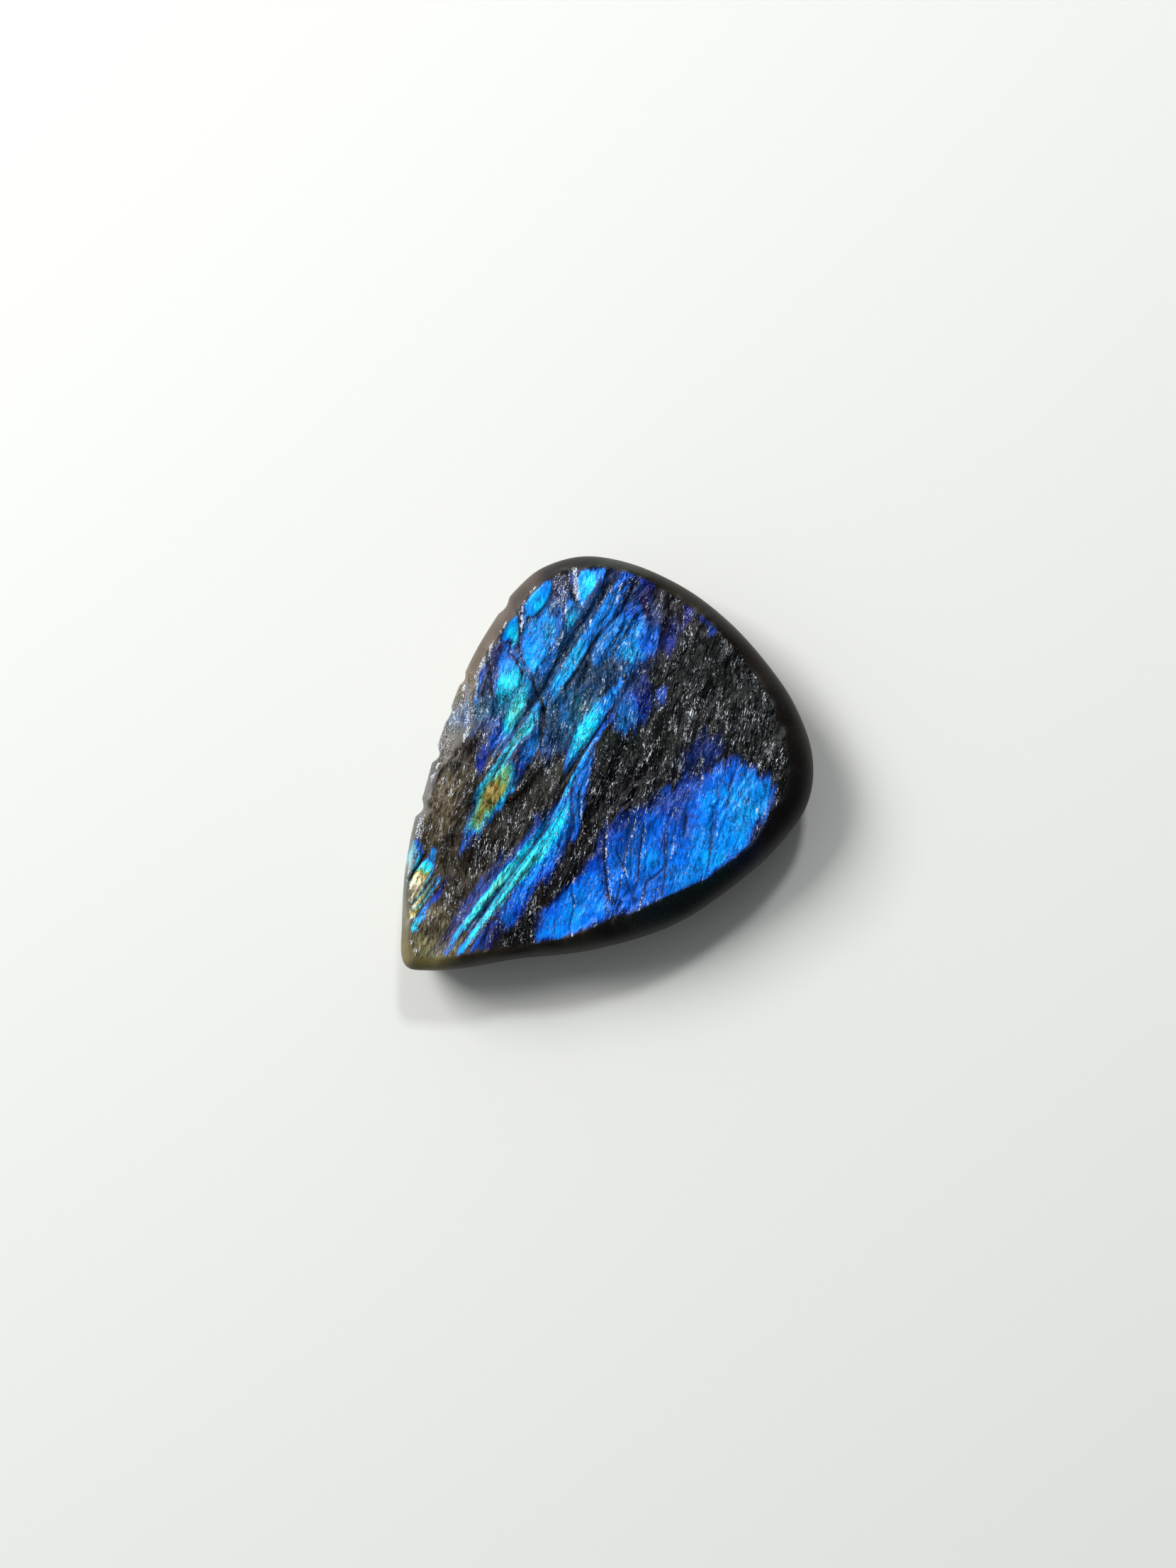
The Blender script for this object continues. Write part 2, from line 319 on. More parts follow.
# Flash in sheets: outline, softness of its edge, and points with a tone and a strength
SHEETS = {
    "left veil": ([(-12.6, 10.6), (-11.4, 12), (-9.9, 13.7), (-8.2, 15.4), (-6.6, 15.2), (-3.6, 13.4),
         (-2.4, 10.6), (-2.2, 6), (-2, 2.4), (-3.6, 0.6), (-5.2, -0.6), (-6.6, -2.4), (-8.2, -0.6),
         (-9.4, 1), (-11.6, 2.2), (-12.2, 4.8), (-12.7, 7.4)],
        1.6, [(-12, 10.4, 0.2, 0.11), (-11.2, 11, 0.3, 0.15), (-10.4, 8.8, 0.4, 0.28), (-9.4, 8, 0.4, 0.44),
         (-9.2, 11.6, 0.38, 0.15), (-8.6, 14, 0.26, 0.11), (-8.4, 5.4, 0.4, 0.33), (-10, 2, 0.34, 0.23),
         (-11, 3.2, 0.12, 0.33), (-8.4, 1.6, 0.5, 0.28), (-7.4, -0.8, 0.28, 0.28), (-6, 12, 0.36, 0.33),
         (-5.8, 8.2, 0.42, 0.11), (-5.4, 6.8, 0.42, 0.09), (-4.6, 5.6, 0.44, 0.11), (-4, 3.2, 0.42, 0.08),
         (-3, 10.5, 0.22, 0.13), (-7, 4.2, 0.42, 0.23), (-4.6, 0.8, 0.36, 0.33), (-5.4, -1, 0.42, 0.28),
         (-4.4, 9.2, 0.4, 0.25), (-4.2, 7.4, 0.4, 0.18)]),
    "teal veil": ([(-6.4, 8.6), (-4.6, 10), (-3.4, 9.4), (-3.2, 7), (-3, 4.4), (-3.2, 2.9), (-4.3, 2.9),
         (-5.2, 4), (-6.2, 6.8)],
        0.9, [(-5.5, 7.5, 0.4, 0.09), (-3.8, 8.5, 0.4, 0.15), (-3.8, 5, 0.48, 0.12),
         (-4.6, 3.9, 0.4, 0.33)]),
    "upper blue": ([(-7.1, 12.9), (-6.6, 13.6), (-5.6, 13.3), (-4.8, 12.8), (-4, 13.3), (-3.5, 12.9),
         (-3.4, 11.5), (-3.6, 10), (-4.3, 9.8), (-5, 9.6), (-5.6, 8.3), (-6.3, 8.6), (-6.7, 9.6),
         (-7.1, 11.2)],
        0.5, [(-6.4, 13.1, 0.28, 0.8), (-5.6, 12.2, 0.4, 0.85), (-6.3, 11.4, 0.38, 0.8),
         (-5, 11.2, 0.42, 0.9), (-4.4, 10.6, 0.47, 0.8), (-3.8, 12.2, 0.28, 0.75), (-6.4, 9.8, 0.4, 0.7),
         (-5.8, 8.9, 0.38, 0.55)]),
    "navy patch": ([(3.8, 10.3), (5, 10.9), (5.7, 10.2), (5.7, 9.2), (5, 8.9), (4.7, 7.8), (4.1, 8),
         (3.8, 9.2)],
        1.3, [(4.6, 10, 0.2, 0.28), (4.4, 8.4, 0.22, 0.3)]),
    "right upper blue": ([(6.6, 10.1), (7.6, 10.8), (9, 11.2), (10.3, 11), (11.1, 10), (11.3, 8.2),
         (12, 6.9), (12, 5.3), (11.9, 4.3), (11.5, 3.2), (11.2, 1.2), (10.7, -0.2), (10.2, -1.5),
         (9.6, -2.4), (8.9, -3.5), (7.6, -3.3), (6, -2.1), (5, -1.3), (4.2, -0.4), (3.5, 0.7), (4, 1.9),
         (4.7, 2.8), (4.8, 3.8), (4.4, 5.3), (4.9, 6.2), (4.7, 7), (5.4, 7.7), (6, 8.6)],
        0.95, [(7.3, 9.4, 0.32, 0.95), (8.3, 8.5, 0.41, 0.95), (9.5, 9.5, 0.42, 0.9),
         (10.5, 8.8, 0.46, 0.95), (11, 7.4, 0.42, 0.95), (11.5, 6.6, 0.42, 1.2), (10.5, 5.5, 0.38, 1.2),
         (11.4, 4.6, 0.42, 1.2), (10.2, 3.8, 0.42, 1.2), (9, 4.6, 0.38, 1.2), (7.8, 6.8, 0.36, 1.2),
         (7, 6, 0.27, 0.9), (6.3, 8.1, 0.28, 0.75), (5.3, 7.2, 0.22, 0.4), (6, 6, 0.22, 0.4),
         (5.4, 4.5, 0.23, 0.45), (6.5, 4.9, 0.23, 0.42), (7.5, 4.5, 0.26, 0.55), (6.1, 3.3, 0.29, 0.95),
         (7.2, 2.3, 0.31, 0.95), (8.2, 3.8, 0.29, 0.75), (9, 2.2, 0.33, 0.95), (10.6, 2, 0.39, 0.95),
         (10.6, 0.8, 0.36, 0.95), (7.6, 1.2, 0.38, 1.2), (6, 1, 0.29, 0.9), (5, 0.5, 0.26, 0.65),
         (4, 1, 0.22, 0.35), (7, 0, 0.35, 0.95), (8.8, -0.3, 0.3, 0.9), (9.7, -0.8, 0.3, 0.9),
         (8.5, -2, 0.3, 0.9), (6.4, -1.4, 0.32, 0.95)]),
    "right lower blue": ([(3.9, -0.5), (5, -1.4), (6.3, -2.4), (7.6, -3.4), (8.7, -3.4), (8.3, -4.6),
         (8.1, -5.6), (7.6, -6.7), (7.2, -7.5), (6.7, -8.3), (6.5, -8.9), (6.1, -9.4), (5.6, -9),
         (4.9, -8.5), (4.6, -7.6), (4.7, -6.2), (4.7, -4.8), (4.8, -3.4), (4.4, -2.2)],
        0.8, [(4.6, -1.6, 0.22, 0.45), (5, -2.4, 0.26, 0.85), (5.6, -3, 0.32, 1.2), (6, -5, 0.36, 1.2),
         (7, -4.4, 0.36, 1.2), (7.6, -5.4, 0.29, 1.2), (5.8, -7.5, 0.37, 1.2), (6.3, -8.4, 0.37, 1.2),
         (5, -7, 0.27, 0.95), (5, -8.2, 0.22, 0.5), (7, -7, 0.34, 1.2), (6.5, -6, 0.41, 1.2),
         (8, -3.8, 0.3, 0.95)]),
    "middle right blue": ([(1.9, -2.2), (2.3, -3), (2.7, -4.2), (3, -5.4), (3, -6.6), (3.3, -7.8), (3.7, -9),
         (3.3, -10), (2.5, -9.8), (2.2, -8.6), (1.9, -7), (1.9, -5.4), (1.9, -3.8)],
        0.9, [(2.1, -3, 0.31, 1), (2.2, -4.6, 0.33, 1.2), (2.4, -6.4, 0.33, 1.2), (2.7, -8, 0.31, 1.2),
         (2.95, -6, 0.25, 0.95), (3.4, -8.8, 0.22, 0.85), (2.6, -9.6, 0.36, 0.9)]),
    "upper deep blue": ([(-2.3, 10.3), (-1.4, 10), (-0.6, 9.4), (-0.2, 8.6), (-0.2, 7.4), (-0.4, 6.2),
         (-1.3, 6.2), (-2, 6.8), (-2.4, 8.2)],
        0.8, [(-1.7, 9.6, 0.14, 0.55), (-0.9, 8.7, 0.16, 0.6), (-1.6, 7.8, 0.38, 0.5),
         (-0.7, 7, 0.42, 0.5)]),
    "broken corner": ([(-11.2, 0.6), (-10.2, 0.5), (-9.6, 1.4), (-8.6, 1), (-8.2, 0), (-8.6, -1.6),
         (-9.4, -2), (-10.2, -2.4), (-10.9, -1.8), (-10.6, -0.8)],
        0.8, [(-10.8, 0.2, 0.45, 0.1), (-9.6, 0.8, 0.42, 0.16), (-9.2, -0.4, 0.46, 0.16),
         (-9.2, -1.4, 0.4, 0.22), (-10.4, -2.1, 0.44, 0.12)]),
    "left blue corner": ([(-5.1, 1.7), (-4.4, 1.3), (-4, 0.7), (-4, -0.1), (-3.7, -0.9), (-4.1, -1.2),
         (-4.7, -0.7), (-5, 0.3)],
        0.25, [(-4.7, 1.1, 0.4, 0.85), (-4.5, 0, 0.36, 0.95), (-4, -0.9, 0.3, 0.85)]),
    "pale left corner": ([(-11.9, 3.1), (-11.2, 2.9), (-11, 2.1), (-10.6, 1.4), (-10, 0.6), (-9.8, 0.15),
         (-10.4, 0.5), (-11, 1.1), (-11.5, 1.8)],
        0.3, [(-11.5, 2.6, 0.16, 0.7), (-11.1, 1.6, 0.2, 0.75), (-10.6, 1, 0.46, 0.85),
         (-10.1, 0.5, 0.4, 0.8)]),
    "top left face": ([(-11.2, 12.5), (-10.4, 13.4), (-9.9, 13.8), (-9.6, 13), (-9.6, 11.6), (-9.35, 10.9),
         (-9.05, 10.3), (-9.9, 10.75), (-10.35, 11.3), (-11, 11.9)],
        0.14, [(-10.3, 12.3, 0.53, 1.2), (-10, 13.3, 0.38, 0.95), (-9.9, 11.7, 0.44, 1.2),
         (-9.3, 10.7, 0.4, 1.2), (-10.9, 12.3, 0.4, 1.2)]),
    "teal patch": ([(-10.2, 10.5), (-9.5, 10.3), (-8.9, 10), (-8.7, 9), (-8.9, 8.2), (-9.5, 8.6),
         (-10, 9.6)],
        0.5, [(-9.8, 10, 0.42, 0.55), (-9.1, 9.4, 0.56, 0.5), (-9.1, 8.6, 0.4, 0.6)]),
    "leaf face": ([(-12.45, 10.3), (-12.05, 10.15), (-11.7, 9.8), (-11.4, 9), (-11.25, 8.4), (-11.4, 7.3),
         (-11.8, 7.15), (-12.35, 7.8), (-12.6, 8.6), (-12.6, 9.6)],
        0.14, [(-12.2, 9.8, 0.38, 1.2), (-12.1, 8.8, 0.45, 1.2), (-11.6, 8.4, 0.52, 1.2),
         (-11.9, 7.6, 0.42, 1.2)]),
    "small face": ([(-12.6, 6.95), (-11.8, 6.55), (-11.2, 5.95), (-10.9, 5.5), (-11.2, 5.1), (-11.5, 4.7),
         (-12.05, 4.9), (-12.3, 5.6), (-12.5, 6.3)],
        0.12, [(-12.3, 6.6, 0.42, 1.2), (-11.5, 5.4, 0.56, 1.2), (-11.8, 4.95, 0.42, 1.2)]),
    "middle face top": ([(-11.5, 6.9), (-10.8, 7.45), (-10.3, 7.5), (-10.4, 6.5), (-10.9, 6.1),
         (-11.2, 6.45)],
        0.16, [(-10.8, 6.8, 0.42, 0.95)]),
    "middle face": ([(-10.4, 7.6), (-9.6, 7.6), (-8.8, 7), (-8.5, 5.8), (-8.3, 4.4), (-9.3, 4.6),
         (-9.95, 5.1), (-10.7, 5.8), (-10.4, 6.6)],
        0.3, [(-9.4, 6.9, 0.42, 0.7), (-9.6, 5.9, 0.42, 1.2), (-8.8, 5, 0.44, 1.2), (-10.3, 6, 0.4, 1.2)]),
    "periwinkle face": ([(-10.9, 5.3), (-9.9, 4.95), (-10.2, 4.45), (-11.1, 4.5)],
        0.16, [(-10.5, 4.8, 0.36, 0.6)]),
    "cyan face": ([(-11.2, 4.2), (-10, 4.3), (-8.7, 4), (-8.3, 3.2), (-8.2, 2.4), (-8.9, 1.6), (-9.7, 2.1),
         (-10.1, 2.8), (-10.7, 3.2), (-11.2, 3.7)],
        0.45, [(-10.8, 3.8, 0.36, 0.8), (-10.1, 3.5, 0.42, 0.9), (-9.2, 2.8, 0.6, 1.2),
         (-8.9, 3.5, 0.54, 0.9), (-8.6, 2.3, 0.56, 0.75)]),
}

# Flash in streaks: softness of the edge, and points with a half width, a tone and a strength
STREAKS = {
    "top violet": (0.6, [(-7.6, 15.2, 0.3, 0.16, 0.9), (-6.9, 15.25, 0.32, 0.09, 0.9),
        (-6.5, 14.8, 0.25, 0.05, 0.5)]),
    "second violet": (0.8, [(-6.7, 14.3, 0.35, 0.05, 0.4), (-5.5, 13.7, 0.35, 0.03, 0.35)]),
    "third violet": (0.6, [(-3.6, 16.3, 0.35, 0.03, 0.75), (-3.2, 15.7, 0.3, 0.04, 0.7),
        (-3, 15, 0.25, 0.05, 0.5)]),
    "top blue": (0.7, [(-2.4, 16.4, 0.35, 0.14, 0.5), (-1.3, 16.5, 0.35, 0.22, 0.45),
        (-1, 15.9, 0.2, 0.22, 0.3)]),
    "upper navy": (0.8, [(-3.4, 14.5, 0.4, 0.12, 0.35), (-2.8, 13.3, 0.45, 0.14, 0.55),
        (-2.5, 12.6, 0.4, 0.05, 0.55)]),
    "upper spot": (0.8, [(-0.7, 10.4, 0.35, 0.22, 0.5), (-0.3, 9.7, 0.35, 0.22, 0.5)]),
    "left ribbon": (0.7, [(-8.4, 14.8, 0.45, 0.28, 0.9), (-8.1, 13.2, 0.52, 0.36, 0.9),
        (-7.75, 11.5, 0.46, 0.4, 0.85), (-7.45, 9.6, 0.48, 0.4, 0.9), (-7.05, 8, 0.45, 0.47, 0.95),
        (-6.6, 6.2, 0.42, 0.44, 0.9), (-6.3, 4.6, 0.36, 0.42, 0.85), (-6, 3.6, 0.26, 0.4, 0.6)]),
    "edge ribbon": (0.5, [(-10.4, 10.5, 0.3, 0.4, 0.7), (-9.7, 9.9, 0.42, 0.42, 0.75),
        (-9.1, 9.2, 0.34, 0.5, 0.7), (-8.8, 8.5, 0.22, 0.44, 0.6)]),
    "second edge ribbon": (0.6, [(-10.3, 9.8, 0.16, 0.3, 0.55), (-9.6, 8.6, 0.3, 0.36, 0.7),
        (-8.9, 7.6, 0.34, 0.36, 0.7), (-8.3, 6.4, 0.3, 0.36, 0.6), (-7.9, 5.2, 0.26, 0.34, 0.5)]),
    "soft ribbon": (0.7, [(-11, 8.4, 0.3, 0.42, 0.75), (-10.3, 7.9, 0.4, 0.42, 0.8),
        (-9.4, 7.3, 0.4, 0.46, 0.75)]),
    "green ribbon": (0.8, [(-8, 3.4, 0.34, 0.5, 0.75), (-7.6, 2.5, 0.46, 0.61, 0.9),
        (-7.25, 1.5, 0.52, 0.66, 0.9), (-6.9, 0.6, 0.42, 0.6, 0.9), (-6.65, -0.3, 0.38, 0.42, 0.85),
        (-6.3, -1.2, 0.3, 0.38, 0.75), (-6.1, -1.9, 0.16, 0.45, 0.5)]),
    "blue side": (0.6, [(-7.3, 0, 0.3, 0.26, 0.7), (-6.7, -1.1, 0.32, 0.27, 0.8),
        (-6.4, -1.8, 0.2, 0.26, 0.6)]),
    "aqua ribbon": (0.5, [(-6.3, 3, 0.3, 0.42, 0.8), (-6, 2.3, 0.38, 0.5, 0.95),
        (-5.8, 1.6, 0.34, 0.56, 0.9), (-5.8, 0.6, 0.3, 0.62, 0.8), (-5.6, -0.6, 0.26, 0.58, 0.8),
        (-5.4, -1.8, 0.22, 0.55, 0.8), (-5.25, -3, 0.22, 0.55, 0.75), (-5.1, -4, 0.16, 0.52, 0.5),
        (-4.9, -5.2, 0.12, 0.5, 0.25)]),
    "blue tail": (0.8, [(-4, -1.2, 0.4, 0.24, 0.6), (-3.6, -1.9, 0.35, 0.18, 0.35)]),
    "deep blue": (0.6, [(-6.7, -2.3, 0.26, 0.14, 0.9), (-6.3, -3, 0.36, 0.16, 1.2),
        (-5.9, -3.7, 0.16, 0.14, 0.7)]),
    "lens glow": (0.9, [(-4.9, -1.4, 0.4, 0.5, 0.5), (-4.5, -2.4, 0.7, 0.6, 0.6),
        (-4.15, -3.6, 0.9, 0.66, 0.6), (-3.9, -4.8, 0.85, 0.64, 0.55), (-3.65, -6, 0.62, 0.6, 0.5),
        (-3.4, -7, 0.5, 0.48, 0.55), (-3.05, -7.9, 0.36, 0.32, 0.6), (-2.9, -8.3, 0.2, 0.28, 0.4)]),
    "gold lens": (0.8, [(-4.75, -1.6, 0.22, 0.68, 0.65), (-4.5, -2.2, 0.5, 0.77, 0.9),
        (-4.25, -3, 0.64, 0.84, 0.85), (-4.08, -3.8, 0.7, 0.86, 0.85), (-3.92, -4.7, 0.64, 0.85, 0.78),
        (-3.78, -5.5, 0.52, 0.82, 0.7), (-3.62, -6.3, 0.38, 0.76, 0.6), (-3.45, -7, 0.2, 0.62, 0.5)]),
    "lens side": (0.6, [(-3.5, -1.9, 0.2, 0.44, 0.55), (-3.3, -2.6, 0.24, 0.46, 0.7),
        (-3.15, -3.6, 0.2, 0.5, 0.65), (-2.95, -4.8, 0.18, 0.44, 0.5), (-2.9, -5.8, 0.15, 0.4, 0.3)]),
    "main strand": (0.6, [(-3.25, 8.7, 0.28, 0.34, 0.8), (-3.15, 7.8, 0.42, 0.38, 0.95),
        (-2.95, 6.5, 0.52, 0.42, 1.2), (-2.7, 4.9, 0.6, 0.52, 1.2), (-2.45, 3.8, 0.66, 0.56, 1.2),
        (-2.1, 2.8, 0.46, 0.5, 0.95), (-1.8, 1.9, 0.28, 0.44, 0.85), (-1.5, 1, 0.16, 0.36, 0.5)]),
    "second strand": (0.6, [(-1.95, 6.4, 0.2, 0.25, 0.6), (-1.85, 5.4, 0.24, 0.28, 0.8),
        (-1.6, 4.2, 0.2, 0.36, 0.95), (-1.25, 3, 0.22, 0.42, 0.95), (-0.95, 2, 0.22, 0.44, 0.95),
        (-0.65, 1.1, 0.22, 0.46, 0.9), (-0.35, 0.1, 0.22, 0.48, 0.85), (0, -0.6, 0.2, 0.55, 0.75)]),
    "third strand": (0.8, [(-0.9, 3.4, 0.3, 0.3, 0.35), (-0.4, 2.2, 0.4, 0.36, 0.6),
        (0.1, 1.2, 0.5, 0.36, 0.7), (0.7, 0.2, 0.6, 0.36, 0.75), (1.3, -0.8, 0.6, 0.34, 0.8),
        (1.9, -1.8, 0.5, 0.28, 0.8)]),
    "strand bed": (1, [(0, -0.4, 0.3, 0.4, 0.7), (0.6, -1.4, 0.75, 0.42, 0.9), (1, -2.8, 1, 0.42, 1.2),
        (1.15, -4.4, 1.05, 0.44, 1.2), (1.15, -6, 0.92, 0.46, 1.2), (1.2, -7.6, 0.8, 0.44, 1.2),
        (1.35, -9.2, 0.78, 0.4, 0.95), (1.5, -10.4, 0.6, 0.36, 0.8), (1.8, -12, 0.5, 0.34, 0.5)]),
    "lower left strand": (0.6, [(0, -1.2, 0.16, 0.36, 0.8), (0.3, -2.6, 0.22, 0.44, 0.95),
        (0.48, -4, 0.26, 0.5, 1.2), (0.62, -5.6, 0.3, 0.58, 1.2), (0.75, -7.2, 0.34, 0.64, 1.2),
        (0.88, -8.8, 0.36, 0.68, 1.2), (1.05, -10.4, 0.32, 0.66, 1.2), (1.25, -12, 0.28, 0.6, 1.2),
        (1.5, -13.4, 0.24, 0.46, 1.2), (1.75, -14.4, 0.2, 0.36, 0.9), (1.88, -15.1, 0.12, 0.3, 0.8)]),
    "lower right strand": (0.6, [(0.45, -0.7, 0.26, 0.5, 0.9), (0.85, -1.8, 0.36, 0.52, 1.2),
        (1.15, -3, 0.44, 0.56, 1.2), (1.35, -4.4, 0.44, 0.6, 1.2), (1.45, -5.8, 0.4, 0.62, 1.2),
        (1.6, -7.4, 0.36, 0.62, 1.2), (1.8, -9, 0.3, 0.58, 0.95), (1.98, -10.4, 0.26, 0.58, 1.2),
        (2.15, -11.8, 0.25, 0.54, 1.2), (2.35, -13.2, 0.24, 0.48, 1.2), (2.55, -14.2, 0.2, 0.4, 0.95)]),
    "violet side": (1, [(-0.3, -6.8, 0.2, 0.3, 0.22), (0, -8.4, 0.36, 0.26, 0.32),
        (0.25, -10, 0.4, 0.23, 0.42), (0.5, -11.4, 0.36, 0.22, 0.38), (0.75, -12.8, 0.3, 0.21, 0.4),
        (1, -14, 0.3, 0.14, 0.36), (1.1, -15.2, 0.36, 0.08, 0.25)]),
    "violet strand": (0.5, [(2.65, -10.4, 0.2, 0.18, 0.7), (2.75, -11.4, 0.22, 0.16, 0.75),
        (2.95, -12.3, 0.36, 0.27, 0.95), (3.1, -13.1, 0.32, 0.24, 0.95), (3.05, -13.6, 0.16, 0.2, 0.7)]),
    "last violet": (0.8, [(3.1, -10.4, 0.3, 0.08, 0.4), (3.5, -11.6, 0.35, 0.09, 0.5),
        (3.8, -12.7, 0.2, 0.12, 0.6)]),
    "left patch": (0.4, [(-5.1, -10.7, 0.34, 0.28, 1), (-5, -11.1, 0.44, 0.5, 1.6),
        (-4.85, -11.6, 0.44, 0.62, 1.7), (-4.6, -12.3, 0.36, 0.66, 1.7), (-4.4, -12.8, 0.22, 0.66, 1.3)]),
    "green strand": (0.5, [(-3.55, -11, 0.26, 0.42, 0.8), (-3.45, -11.6, 0.3, 0.62, 1.2),
        (-3.3, -12.1, 0.32, 0.72, 1.2), (-3.1, -12.9, 0.3, 0.88, 1.2), (-2.85, -13.6, 0.2, 0.9, 0.9)]),
    "cream strand": (0.4, [(-3.88, -10.8, 0.36, 0.42, 0.9), (-3.82, -11.2, 0.46, 0.58, 1.4),
        (-3.72, -11.6, 0.5, 0.68, 1.7), (-3.66, -11.9, 0.52, 0.93, 1.8), (-3.5, -12.5, 0.5, 1, 1.8),
        (-3.25, -13.3, 0.44, 1, 1.8), (-2.98, -13.9, 0.28, 0.99, 1.2)]),
    "thin gold": (0.5, [(-2.85, -11.2, 0.12, 0.55, 0.4), (-2.6, -12.4, 0.12, 0.74, 0.6),
        (-2.42, -13.5, 0.14, 0.9, 0.8), (-2.25, -14.4, 0.16, 0.92, 0.8), (-1.95, -15.1, 0.14, 0.94, 0.6)]),
    "thin green": (0.5, [(-2.45, -11, 0.11, 0.44, 0.6), (-2.3, -12.1, 0.12, 0.46, 0.6),
        (-2.12, -13.2, 0.13, 0.68, 0.8), (-1.98, -14.1, 0.14, 0.82, 0.85),
        (-1.88, -14.8, 0.12, 0.96, 0.85)]),
    "tip strand": (0.4, [(-1.95, -10.9, 0.14, 0.05, 0.5), (-1.8, -11.8, 0.18, 0.12, 0.7),
        (-1.68, -12.7, 0.2, 0.2, 0.85), (-1.58, -13.5, 0.22, 0.36, 0.95), (-1.45, -14.3, 0.26, 0.46, 1.2),
        (-1.3, -15, 0.26, 0.62, 1.2), (-1.1, -15.5, 0.18, 0.62, 0.8)]),
}

